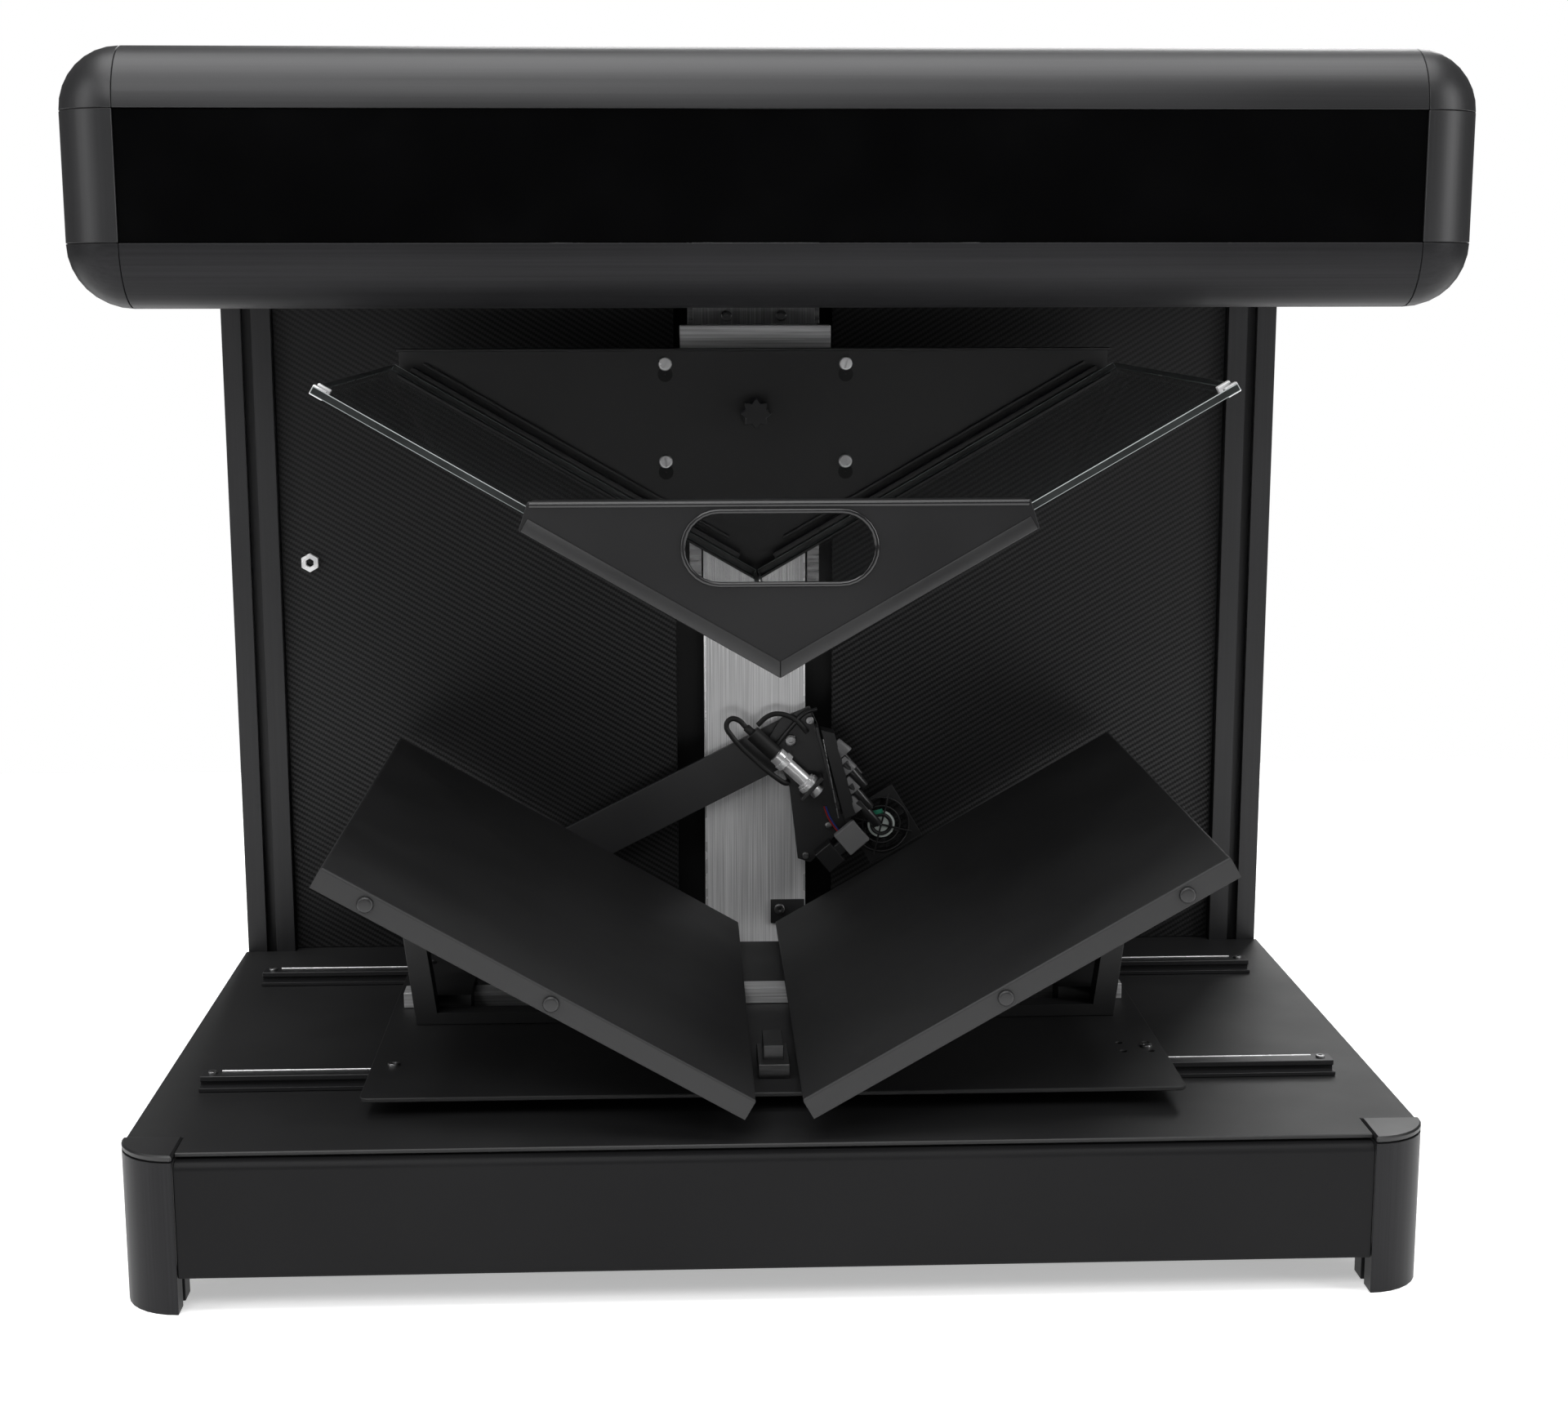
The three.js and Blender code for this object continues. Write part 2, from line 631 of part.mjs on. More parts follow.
// Everything on the arm lies between the back edge of the cradle and the column.
const along = (distance, across = 0) => [
  armPivot[0] + distance * Math.cos(armTilt) - across * Math.sin(armTilt),
  armPivot[1] + distance * Math.sin(armTilt) + across * Math.cos(armTilt),
];
const armEnd = 18;
const armHub = 24;
const bar = [
  ...arc(armPivot, armHub, armTilt + Math.PI * 0.7, armTilt + Math.PI * 1.3, 8),
  along(0.6 * armHub, -armWidth / 2), along(armLength + armEnd - 6, -armWidth / 2),
  along(armLength + armEnd, 6 - armWidth / 2), along(armLength + armEnd, armWidth / 2 - 6),
  along(armLength + armEnd - 6, armWidth / 2), along(0.6 * armHub, armWidth / 2),
];
const armMotorFront = panelFront + panelThickness + slideGap;
add('arm_bar', join(
  alongY(bar, armFront, armBack),
  barY(armHub - 6, armPivot, armFront - 4, armBack - 1, 24),
  barY(shaftRadius, armPivot, armBack - 2, armMotorFront - gap),
), blackAnodised);
add('arm_motor', join(
  barY(22, armPivot, armMotorFront, wallBack - 2, 24),
  block([armPivot[0] - 16, armPivot[0] + 16], [armMotorFront + 6, wallBack - 4],
    [armPivot[1] - 60, armPivot[1]]),
), blackAnodised);

// ------------------------------------------------------------------ suction head

// Drawn from its pivot at the end of the bar, in a group that is placed there.
const headPivot = along(armLength);
const head = new THREE.Group();
head.position.set(headPivot[0], 0, headPivot[1]);
scanner.add(head);

// Side plate: hangs from the end of the bar, with a flange along its right edge.
const headOutline = [
  [-18, 3], [-8, 19], [16, 29], [23, 13], [44, -67], [64, -57], [64, -85], [42, -79],
  [17, -107], [6, -103], [-1, -41],
];
const flange = [[19.5, 14], [22.5, 14], [41, -57], [38, -57]];
// Sensor axis, from the cable end of its plug to its tip.
const sensorAngle = -43 * Math.PI / 180;
const sensorStart = [-38, 13];
const sensorY = (headFront + headFace) / 2;
const alongSensor = (distance) => [
  sensorStart[0] + distance * Math.cos(sensorAngle), sensorStart[1] + distance * Math.sin(sensorAngle)];
function sensorPiece(radius, from, to, sidesOf = 20) {
  const [x, z] = alongSensor((from + to) / 2);
  return new THREE.CylinderGeometry(radius, radius, to - from, sidesOf)
    .rotateZ(-Math.PI / 2).rotateY(-sensorAngle).translate(x, sensorY, z);
}
const tabAt = 76;
const sensorTab = new THREE.BoxGeometry(3, headBack - headFront, 26)
  .rotateY(-sensorAngle)
  .translate(alongSensor(tabAt)[0], (headBack + headFront) / 2, alongSensor(tabAt)[1]);
add('head_plate', cut(join(
  alongY(headOutline, headFace, headBack),
  alongY(flange, headFront + 2, headBack - 0.5),
  sensorTab,
), sensorPiece(6.4, tabAt - 10, tabAt + 10)), blackAnodised, head);

// Proximity sensor clamped in the tab by a nut, with its round plug.
const plugLength = 34;
add('page_sensor', join(
  sensorPiece(3.4, 0, 8, 12),
  sensorPiece(6.8, 7, plugLength, 16),
  sensorPiece(5, plugLength - 1, plugLength + 2, 16),
  sensorPiece(7.5, plugLength + 1, plugLength + 12, 12),
  sensorPiece(6, plugLength + 10, tabAt + 8),
  sensorPiece(8.5, tabAt - 8, tabAt - 1.5 - gap, 6),
), steel, head);

// The sensor's lead loops back to the plate, held at both ends.
const leadRadius = 2.3;
const leadEnd = [-3, -36];
const leadPath = new THREE.CatmullRomCurve3([
  [...alongSensor(-gap), 0], [-45, 19.5, 0], [-51, 20, 0], [-54.5, 14.5, 0], [-50, 5.5, 0], [-42, -4, 0],
  [-33, -12.5, -1], [-23, -21.5, -3], [-13, -29.5, -4], [-6, -34.5, -2],
].map(([x, z, back]) => new THREE.Vector3(x, sensorY + back, z)).concat([
  new THREE.Vector3(leadEnd[0], headFace - 6, leadEnd[1]),
  new THREE.Vector3(leadEnd[0], headFace - 2 * gap, leadEnd[1]),
]), false, 'centripetal');
const leadSection = Array.from({ length: 8 }, (_, i) => [
  leadRadius * Math.cos(i * Math.PI / 4), leadRadius * Math.sin(i * Math.PI / 4)]);
add('sensor_lead', new THREE.ExtrudeGeometry(outline(leadSection),
  { steps: 24, extrudePath: leadPath, bevelEnabled: false }), rubber, head);

// Suction manifold along the flange, with four cups and three tube stubs in front of the fan.
const cupSpots = [[41, -4], [45.5, -19], [50, -35.5], [53.5, -52]];
const stubSpots = [[49, -15.5], [58, -45.5], [64.5, -60]];
const pointing = -50 * Math.PI / 180;
const cupRadius = suctionDepth / 2 - 0.05;
function aimed(geometry, [x, z]) {
  return geometry.rotateZ(-Math.PI / 2).rotateY(-pointing)
    .translate(x, (suctionFront + suctionBack) / 2, z);
}
const manifoldBar = join(
  alongY([[24.5, 12], [36, 9], [52, -50], [55, -61], [44.5, -65]], suctionFront, suctionBack),
  alongY([[24.5, 12], [36, 9], [48, -36], [36.5, -36]], fanFront - 2, fanBack),
);
const cups = cupSpots.map((at) => aimed(new THREE.CylinderGeometry(cupRadius, 2.8, 13, 12), at));
const stubs = stubSpots.map((at) => aimed(new THREE.CylinderGeometry(2.2, 2.2, 30, 10), at));
add('suction_head', join(manifoldBar, ...cups, ...stubs), greyPlastic, head);

// Vacuum valve below the manifold: its body lies in front of the fan, its foot on the plate.
function turnedBlock([x, z], width, height, angle, front, back) {
  return new THREE.BoxGeometry(width, back - front, height).rotateY(-angle)
    .translate(x, (front + back) / 2, z);
}
const valveAngle = 0.7;
add('vacuum_valve', join(
  turnedBlock([51, -81.5], 21, 22, valveAngle, suctionFront, suctionBack),
  turnedBlock([32.5, -98.5], 17, 20, valveAngle, suctionFront, fanBack),
  turnedBlock([40, -92], 12, 10, valveAngle, suctionFront + 1, suctionBack - 0.7),
), greyPlastic, head);

// Fan that blows between the pages, its frame turned with the head.
const fanBore = fanSide / 2 - 2;
const fanTurn = 31 * Math.PI / 180;
const fanCorner = [42.2, -62.95];   // the corner next to the manifold, which stays where it is
const fanCentre = [
  fanCorner[0] + fanSide / 2 * (Math.cos(fanTurn) + Math.sin(fanTurn)),
  fanCorner[1] - fanSide / 2 * (Math.cos(fanTurn) - Math.sin(fanTurn)),
];
const fanHub = 10;
const turnFan = (geometry) => geometry.rotateY(-fanTurn).translate(fanCentre[0], 0, fanCentre[1]);
const struts = [0, 1, 2].map((i) => new THREE.BoxGeometry(fanBore * 2 + 1, 1.5, 3)
  .rotateY(i * Math.PI / 3 + 0.3).translate(0, fanBack - 0.8, 0));
add('fan_frame', turnFan(join(cut(
  block([-fanSide / 2, fanSide / 2], [fanFront, fanBack], [-fanSide / 2, fanSide / 2]),
  barY(fanBore, [0, 0], fanFront - 5, fanBack + 5, 32),
), ...struts, barY(fanHub, [0, 0], fanBack - 1.5, fanBack, 20))), blackPlastic, head);
const rotorBack = fanBack - 1.5 - 0.6;
const rotorFront = fanFront + 0.8;
const bladeLength = fanBore - 1.5 - fanHub + 1;
const blades = Array.from({ length: 7 }, (_, i) => new THREE.BoxGeometry(bladeLength, 7, 1.2)
  .rotateX(0.75).translate(fanHub - 1 + bladeLength / 2, (rotorFront + rotorBack) / 2, 0)
  .rotateY(i * 2 * Math.PI / 7));
add('fan_rotor', turnFan(join(barY(fanHub, [0, 0], rotorFront, rotorBack, 20), ...blades)),
  blackPlastic, head);

// ------------------------------------------------------------------ hood

// Quarter-round frame: four rails and four ball corners, round towards the outer front edge.
const frameBack = hoodFront + profile;
const quarter = (u, v, from) => [[u, v], ...arc([u, v], profile, from, from + Math.PI / 2)];
add('hood_top_rail', alongX(quarter(frameBack, windowTop, Math.PI / 2),
  gap - windowHalf, windowHalf - gap), blackAnodised);
add('hood_bottom_rail', alongX(quarter(frameBack, windowBottom, Math.PI),
  gap - windowHalf, windowHalf - gap), blackAnodised);
for (const [name, side] of sides) {
  const section = [[windowHalf, frameBack], ...arc([windowHalf, frameBack], profile, -Math.PI / 2, 0)];
  add(`hood_${name}_rail`, alongZ(mirrored(section, side), windowBottom + gap, windowTop - gap),
    blackAnodised);
}
for (const [name, side] of sides) {
  for (const [level, up, z] of [['top', 1, windowTop], ['bottom', -1, windowBottom]]) {
    const ball = new THREE.SphereGeometry(profile, 32, 16).translate(side * windowHalf, frameBack, z);
    const across = [side * windowHalf, side * (halfHood + 5)].sort((a, b) => a - b);
    const rise = [z, z + up * (profile + 5)].sort((a, b) => a - b);
    add(`hood_corner_${level}_${name}`,
      common(ball, block(across, [hoodFront - 5, frameBack], rise)), blackAnodised);
  }
}
const panelRecess = 2;
add('name_panel', block([gap - windowHalf, windowHalf - gap],
  [hoodFront + panelRecess, hoodFront + panelRecess + 3], [windowBottom + gap, windowTop - gap]),
blackGloss);

// Cover: one folded shell with rounded long edges, open below between its lips, closed behind.
const lipHalf = windowHalf - 61;
const roundedBox = (radius) => [
  ...arc([windowHalf, windowBottom], radius, -Math.PI / 2, 0),
  ...arc([windowHalf, windowTop], radius, 0, Math.PI / 2),
  ...arc([-windowHalf, windowTop], radius, Math.PI / 2, Math.PI),
  ...arc([-windowHalf, windowBottom], radius, Math.PI, 1.5 * Math.PI),
];
const shell = [
  [lipHalf, hoodBottom], ...roundedBox(profile), [-lipHalf, hoodBottom],
  ...[[lipHalf, hoodBottom + hoodWall], ...roundedBox(profile - hoodWall),
    [-lipHalf, hoodBottom + hoodWall]].reverse(),
];

// Under the roof a bar carries two wedges, and a camera is screwed to each.
const cameraY = cradleFront + 220;
const cameraAt = [150, hoodTop - 73];
const cameraBody = [74, 62, 46];
const cameraTop = (x) => cameraAt[1] - (x - cameraAt[0]) * tan + (cameraBody[2] / 2 + gap) / cos;
const barHalf = windowHalf - 106;
const cameraBar = block([-barHalf, barHalf], [cameraY - 20, cameraY + 20],
  [hoodTop - 14, hoodTop - hoodWall + 0.5]);
const wedgeTop = hoodTop - 10;
const wedgeInner = cameraAt[0] - 14;
const wedgeOuter = cameraAt[0] + 38;
const wedge = [[wedgeInner, wedgeTop], [wedgeInner, cameraTop(wedgeInner)],
  [wedgeOuter, cameraTop(wedgeOuter)], [wedgeOuter, wedgeTop]];
const wedges = sides.map(([, side]) => alongY(mirrored(wedge, side), cameraY - 14, cameraY + 14));
const uprightWays = sides.map(([, side]) => block(
  [side * (lipHalf - 5), side * (uprightOuter + slideGap)].sort((a, b) => a - b),
  [wallFront - slideGap, wallBack + slideGap], [hoodBottom - 5, windowBottom]));
add('hood_cover', cut(join(
  alongY(shell, frameBack + gap, machineBack),
  alongY(roundedBox(profile), machineBack - hoodWall, machineBack),
  cameraBar, ...wedges,
), ...uprightWays), blackAnodised);

// Two cameras cross their views: each one looks square onto the opposite page.
for (const [name, side] of sides) {
  const camera = add(`camera_${name}`, join(
    new THREE.BoxGeometry(...cameraBody),
    new THREE.CylinderGeometry(24, 24, 44, 28).rotateX(Math.PI / 2).translate(0, 0, -40),
    new THREE.CylinderGeometry(27, 27, 8, 28).rotateX(Math.PI / 2).translate(0, 0, -50),
  ), blackPlastic);
  camera.position.set(side * cameraAt[0], cameraY, cameraAt[1]);
  camera.rotation.y = side * slope;
}

// Lamp bars rest on the lips of the cover and light the book through the opening.
const lampBase = hoodBottom + hoodWall + gap;
const lamp = [[lipHalf - 1, lampBase], [lipHalf + 45, lampBase], [lipHalf + 45, lampBase + 29],
  [lipHalf - 29, lampBase + 29], [lipHalf - 29, lampBase + 20]];
for (const [name, side] of sides) {
  add(`lamp_bar_${name}`, alongY(mirrored(lamp, side), frameBack + 29, cradleBack - 37), lampWhite);
}

// ------------------------------------------------------------------ placing

// The origin is under the middle of the whole machine, on the floor.
const extent = new THREE.Box3().setFromObject(scanner);
scanner.position.set(
  -(extent.min.x + extent.max.x) / 2, -(extent.min.y + extent.max.y) / 2, -extent.min.z);

export default scanner;
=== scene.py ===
# %% [markdown]
# # An automatic book scanner
# The machine is mostly black: anodised profiles, powder-coated sheet, a carbon-look back wall and a
# few bright pieces of steel and brushed aluminium. Its working pieces come from a fixed frame of solid
# parts. This lesson gives those solids crisp edges and real finishes, and adds the small things:
# screws, plugs, folds, clips, wires and guards.

# %% Load the machine
import json
import math

import bmesh
import bpy
from mathutils import Matrix, Vector


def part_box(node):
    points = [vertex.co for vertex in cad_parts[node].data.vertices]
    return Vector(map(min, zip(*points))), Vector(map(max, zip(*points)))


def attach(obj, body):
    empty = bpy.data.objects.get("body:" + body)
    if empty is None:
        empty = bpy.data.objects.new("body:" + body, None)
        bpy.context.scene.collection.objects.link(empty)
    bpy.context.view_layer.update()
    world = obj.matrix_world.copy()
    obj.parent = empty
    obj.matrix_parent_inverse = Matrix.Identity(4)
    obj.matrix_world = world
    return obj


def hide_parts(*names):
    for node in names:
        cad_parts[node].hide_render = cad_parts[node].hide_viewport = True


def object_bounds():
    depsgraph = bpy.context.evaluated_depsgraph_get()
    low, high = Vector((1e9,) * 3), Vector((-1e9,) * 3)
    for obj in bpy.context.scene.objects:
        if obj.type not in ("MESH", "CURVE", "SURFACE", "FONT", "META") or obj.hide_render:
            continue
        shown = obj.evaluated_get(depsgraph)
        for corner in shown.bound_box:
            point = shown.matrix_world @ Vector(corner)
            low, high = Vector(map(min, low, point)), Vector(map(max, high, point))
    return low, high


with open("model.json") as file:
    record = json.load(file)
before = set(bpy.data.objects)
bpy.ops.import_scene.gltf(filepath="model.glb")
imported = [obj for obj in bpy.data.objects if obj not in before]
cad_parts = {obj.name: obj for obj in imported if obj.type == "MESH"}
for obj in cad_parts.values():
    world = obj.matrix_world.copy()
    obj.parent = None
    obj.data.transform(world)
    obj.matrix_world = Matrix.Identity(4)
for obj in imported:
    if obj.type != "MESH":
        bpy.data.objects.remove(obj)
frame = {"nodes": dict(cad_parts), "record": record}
cad_box = [[float(v) for v in corner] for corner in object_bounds()]
record = frame["record"]
body_of = {node: body for body, nodes in record["behaviour"]["bodies"].items() for node in nodes}
MM = 0.001
print(len(body_of), "solid parts in", len(set(body_of.values())), "moving bodies")


def corners(node):
    """Lowest and highest corner of a solid part, as vectors."""
    low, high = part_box(node)
    return Vector(low), Vector(high)


# %% [markdown]
# ## Camera
# The machine is seen standing on the floor from a little above its middle, through a long lens, so
# that the uprights stay nearly parallel. The small shift keeps the whole hood in view.

# %% Camera
camera_data = bpy.data.cameras.new("camera")
camera_data.sensor_width = 36
camera_data.lens = 56.44
camera_data.shift_y = 0.0355
camera = bpy.data.objects.new("camera", camera_data)
camera.location = (-0.0634, -1.8259, 0.6698)
camera.rotation_euler = (math.radians(90 - 11.01), math.radians(0.08), math.radians(-2.465))
bpy.context.scene.collection.objects.link(camera)
bpy.context.scene.camera = camera
print("camera at", [round(v, 2) for v in camera.location], "with a", round(camera_data.lens, 1), "mm lens")

# %% [markdown]
# ## Light and floor
# Black satin shows nothing but what it reflects. Large soft boxes therefore matter more than strong
# ones: one in front and above, one on each side, one overhead and one behind draw broad, soft
# highlights along the round profiles, and a dim room leaves the faces between them dark. The floor is
# nearly white and glows a little. The wall behind it is white too, but it adds no light: the world
# mixes a white background for what the lens sees with a dim one for what lights the machine.

# %% Light and floor
scene = bpy.context.scene
scene.view_settings.view_transform = "Standard"
scene.view_settings.look = "None"


def soft_box(name, place, target, size, power):
    """A large rectangular light that looks at a point."""
    light = bpy.data.lights.new(name, "AREA")
    light.shape = "RECTANGLE"
    light.size, light.size_y = size
    light.energy = power
    lamp = bpy.data.objects.new(name, light)
    lamp.location = place
    lamp.rotation_euler = (Vector(target) - Vector(place)).to_track_quat("-Z", "Y").to_euler()
    scene.collection.objects.link(lamp)


soft_box("front_box", (-0.7, -2.6, 2.7), (0, 0, 0.4), (2.4, 1.2), 46)
soft_box("left_box", (-2.6, -1.2, 1.5), (0, 0, 0.5), (1.0, 2.2), 26)
soft_box("right_box", (2.7, -1.3, 1.4), (0, 0, 0.45), (1.0, 2.2), 38)
soft_box("top_box", (0, -0.3, 3.0), (0, 0, 0.4), (3.2, 2.2), 105)
soft_box("rear_box", (0.5, 2.9, 2.2), (0, 0, 0.5), (2.4, 1.4), 60)

world = bpy.data.worlds.new("room")
world.use_nodes = True
scene.world = world
room_tree = world.node_tree
room_light = room_tree.nodes["Background"]
room_light.inputs["Color"].default_value = (1, 1, 1, 1)
room_light.inputs["Strength"].default_value = 0.1
white_wall = room_tree.nodes.new("ShaderNodeBackground")
white_wall.inputs["Color"].default_value = (1, 1, 1, 1)
seen = room_tree.nodes.new("ShaderNodeLightPath")
either = room_tree.nodes.new("ShaderNodeMixShader")
room_tree.links.new(seen.outputs["Is Camera Ray"], either.inputs[0])
room_tree.links.new(room_light.outputs[0], either.inputs[1])
room_tree.links.new(white_wall.outputs[0], either.inputs[2])
room_tree.links.new(either.outputs[0], room_tree.nodes["World Output"].inputs["Surface"])

FLOOR_HALF = 2.1
floor_mesh = bmesh.new()
bmesh.ops.create_grid(floor_mesh, x_segments=2, y_segments=2, size=FLOOR_HALF)
bmesh.ops.scale(floor_mesh, verts=floor_mesh.verts, vec=(1.4, 1.0, 1.0))
bmesh.ops.translate(floor_mesh, verts=floor_mesh.verts, vec=(0, -0.5, 0))
floor_data = bpy.data.meshes.new("floor")
floor_mesh.to_mesh(floor_data)
floor = bpy.data.objects.new("floor", floor_data)
scene.collection.objects.link(floor)
floor_paint = bpy.data.materials.new("floor_paint")
floor_paint.use_nodes = True
floor_shader = floor_paint.node_tree.nodes["Principled BSDF"]
floor_shader.inputs["Base Color"].default_value = (0.95, 0.95, 0.95, 1)
floor_shader.inputs["Roughness"].default_value = 0.8
floor_shader.inputs["Emission Color"].default_value = (1, 1, 1, 1)
floor_shader.inputs["Emission Strength"].default_value = 0.42
floor_data.materials.append(floor_paint)

# %% [markdown]
# ## A workshop for finishes
# Every finish is a principled shader fed by small procedural patterns in object coordinates, so the
# grain has a real size in millimetres and stays put when a piece moves. A few helpers keep the recipes
# short: one makes a node and connects it, one stretches a noise along a direction.

# %% Helpers for finishes


def add_node(tree, kind, settings=None, **inputs):
    """Adds a shader node; i0, i1 and so on name inputs by number."""
    node = tree.nodes.new("ShaderNode" + kind)
    for key, value in (settings or {}).items():
        setattr(node, key, value)
    for key, value in inputs.items():
        socket = node.inputs[int(key[1:])] if key[0] == "i" and key[1:].isdigit() else node.inputs[key]
        if isinstance(value, bpy.types.NodeSocket):
            tree.links.new(value, socket)
        else:
            socket.default_value = value
    return node


def maths(tree, operation, first, second=0.0):
    return add_node(tree, "Math", {"operation": operation}, i0=first, i1=second).outputs[0]


def new_finish(name, colour, roughness, metallic=0.0, **sockets):
    """A material with a principled shader, and its tree."""
    material = bpy.data.materials.new(name)
    material.use_nodes = True
    shader = material.node_tree.nodes["Principled BSDF"]
    shader.inputs["Base Color"].default_value = (*colour, 1)
    shader.inputs["Roughness"].default_value = roughness
    shader.inputs["Metallic"].default_value = metallic
    for key, value in sockets.items():
        shader.inputs[key.replace("_", " ")].default_value = value
    return material, material.node_tree, shader


def stretched_noise(tree, scale, detail=3.0):
    """Noise in object coordinates, with its own scale along each axis."""
    place = add_node(tree, "TexCoord").outputs["Object"]
    mapping = add_node(tree, "Mapping", Vector=place, Scale=scale).outputs[0]
    return add_node(tree, "TexNoise", Vector=mapping, Scale=1.0, Detail=detail).outputs[0]


def between(tree, factor, low, high, start=0.3, stop=0.7):
    """Spreads the middle of a noise over a range of values."""
    ends = {"i1": start, "i2": stop, "i3": low, "i4": high}
    return add_node(tree, "MapRange", {"clamp": True}, i0=factor, **ends).outputs[0]


def shades(tree, factor, dark, light):
    """A colour that runs from dark to light."""
    mix = add_node(tree, "Mix", {"data_type": "RGBA"}, i0=factor)
    mix.inputs[6].default_value = (*dark, 1)
    mix.inputs[7].default_value = (*light, 1)
    return mix.outputs[2]


def raise_grain(tree, shader, height, strength, depth):
    """Bumps the surface by a pattern."""
    bump = add_node(tree, "Bump", Height=height, Strength=strength, Distance=depth)
    tree.links.new(bump.outputs[0], shader.inputs["Normal"])


print("helpers for noise, ranges, shades and grain are ready")

# %% [markdown]
# ## Anodised profiles and powder-coated sheet
# Extruded profiles carry very fine lines along their length, even under the black anodising, and hand
# marks make them a little shinier in patches. Powder coat is different: an even orange-peel of tiny
# bumps with a dull sheen. Noise stretched along the profile gives the first, fine even noise the
# second, and each sheet has its own depth of black. The hood's bottom rail and corners and the front
# posts take copies of the anodised finish that reflect less, and the front beam a darker, duller coat:
# this is painted shade, for the little light that reaches them from the floor.

# %% Black metal finishes


def anodised(name, stretch, shine=0.5):
    """Black anodised aluminium with fine lines along its length."""
    material, tree, shader = new_finish(name, (0.018, 0.018, 0.019), 0.42, 0.35, Specular_IOR_Level=shine)
    drawn = stretched_noise(tree, stretch, 4)
    patches = stretched_noise(tree, (5, 5, 5), 4)
    blend = maths(tree, "ADD", maths(tree, "MULTIPLY", drawn, 0.5), maths(tree, "MULTIPLY", patches, 0.5))
    colour = shades(tree, between(tree, blend, 0, 1), (0.014, 0.014, 0.0148), (0.024, 0.024, 0.0255))
    tree.links.new(colour, shader.inputs["Base Color"])
    tree.links.new(between(tree, patches, 0.39, 0.45), shader.inputs["Roughness"])
    raise_grain(tree, shader, drawn, 0.12, 0.05 * MM)
    return material


def powder_coat(name, dark, light, rough=0.52, shine=0.5):
    """Baked powder paint with its orange peel."""
    material, tree, shader = new_finish(name, dark, rough, Specular_IOR_Level=shine)
    peel = stretched_noise(tree, (1500, 1500, 1500), 2)
    patches = stretched_noise(tree, (7, 7, 7), 5)
    colour = shades(tree, between(tree, patches, 0, 1), dark, light)
    tree.links.new(colour, shader.inputs["Base Color"])
    tree.links.new(between(tree, patches, rough - 0.06, rough + 0.07), shader.inputs["Roughness"])
    raise_grain(tree, shader, peel, 0.35, 0.12 * MM)
    return material


profile_x = anodised("anodised_profile_x", (4, 700, 700))
profile_z = anodised("anodised_profile_z", (700, 700, 4))
# Painted shade: the next two are the same anodised finish with less reflection, for the hood's bottom rail
# and corners, which face the floor, and for the front posts.
bottom_rail_painted_shade = anodised("anodised_bottom_rail_painted_shade", (4, 700, 700), 0.1)
post_painted_shade = anodised("anodised_post_painted_shade", (700, 700, 4), 0.14)
deck_coat = powder_coat("deck_powder_coat", (0.0075, 0.0075, 0.008), (0.0105, 0.0105, 0.011))
sheet_coat = powder_coat("sheet_powder_coat", (0.0095, 0.0095, 0.01), (0.0135, 0.0135, 0.014), 0.46)
cradle_coat = powder_coat("cradle_powder_coat", (0.009, 0.009, 0.0095), (0.013, 0.013, 0.0135), 0.55)
# Painted shade: the beam's coat is darker and far less reflective than the other sheet, for the dim front
# face of the beam.
beam_painted_shade = powder_coat("beam_powder_painted_shade", (0.006, 0.006, 0.0065), (0.009, 0.009, 0.0095), 0.5, 0.12)
plate_coat = powder_coat("plate_powder_coat", (0.009, 0.009, 0.0095), (0.013, 0.013, 0.0135), 0.46, 0.2)
head_coat = powder_coat("head_powder_coat", (0.018, 0.018, 0.019), (0.028, 0.028, 0.029), 0.38)
print("profiles, deck, sheet, cradle, beam and head have their black")

# %% [markdown]
# ## Carbon-look wall
# The two wall panels show a twill weave. In a twill each yarn passes over two and under two, one step
# further in each row, which draws diagonal ridges. Counting cells in X and Z and taking the sum (or
# the difference, for the mirrored panel) modulo four says which yarn is on top. The yarns are flat, so
# a cell is wider than it is tall and the ridges lie lower than 45 degrees.

# %% Carbon weave
CELL_ACROSS = 2.1 * MM
CELL_UP = 1.25 * MM


def carbon_weave(name, direction):
    """A twill weave whose ridges rise to one side."""
    material, tree, shader = new_finish(name, (0.01, 0.01, 0.01), 0.34, Specular_IOR_Level=0.22)
    place = add_node(tree, "TexCoord").outputs["Object"]
    split = add_node(tree, "SeparateXYZ", Vector=place)
    across = maths(tree, "DIVIDE", split.outputs[0], CELL_ACROSS)
    up = maths(tree, "DIVIDE", split.outputs[2], CELL_UP)
    steps = maths(tree, "MULTIPLY", maths(tree, "FLOOR", up), direction)
    count = maths(tree, "ADD", maths(tree, "FLOOR", across), steps)
    over = maths(tree, "LESS_THAN", maths(tree, "FLOORED_MODULO", count, 4.0), 1.5)
    # Painted sheen, partly: the twill pattern is the panel's own, but the yarn on top is painted lighter
    # than the yarn beneath to stand in for the way light glances off fibres running in two directions.
    colour = shades(tree, over, (0.002, 0.002, 0.0022), (0.019, 0.019, 0.0195))
    tree.links.new(colour, shader.inputs["Base Color"])
    tree.links.new(between(tree, over, 0.5, 0.3), shader.inputs["Roughness"])

    def crown(cells):
        centred = maths(tree, "SUBTRACT", maths(tree, "FRACT", cells), 0.5)
        return maths(tree, "SUBTRACT", 0.25, maths(tree, "MULTIPLY", centred, centred))

    pick = add_node(tree, "Mix", {"data_type": "FLOAT"}, i0=over, i2=crown(up), i3=crown(across))
    raise_grain(tree, shader, pick.outputs[0], 0.5, 0.5 * MM)
    return material


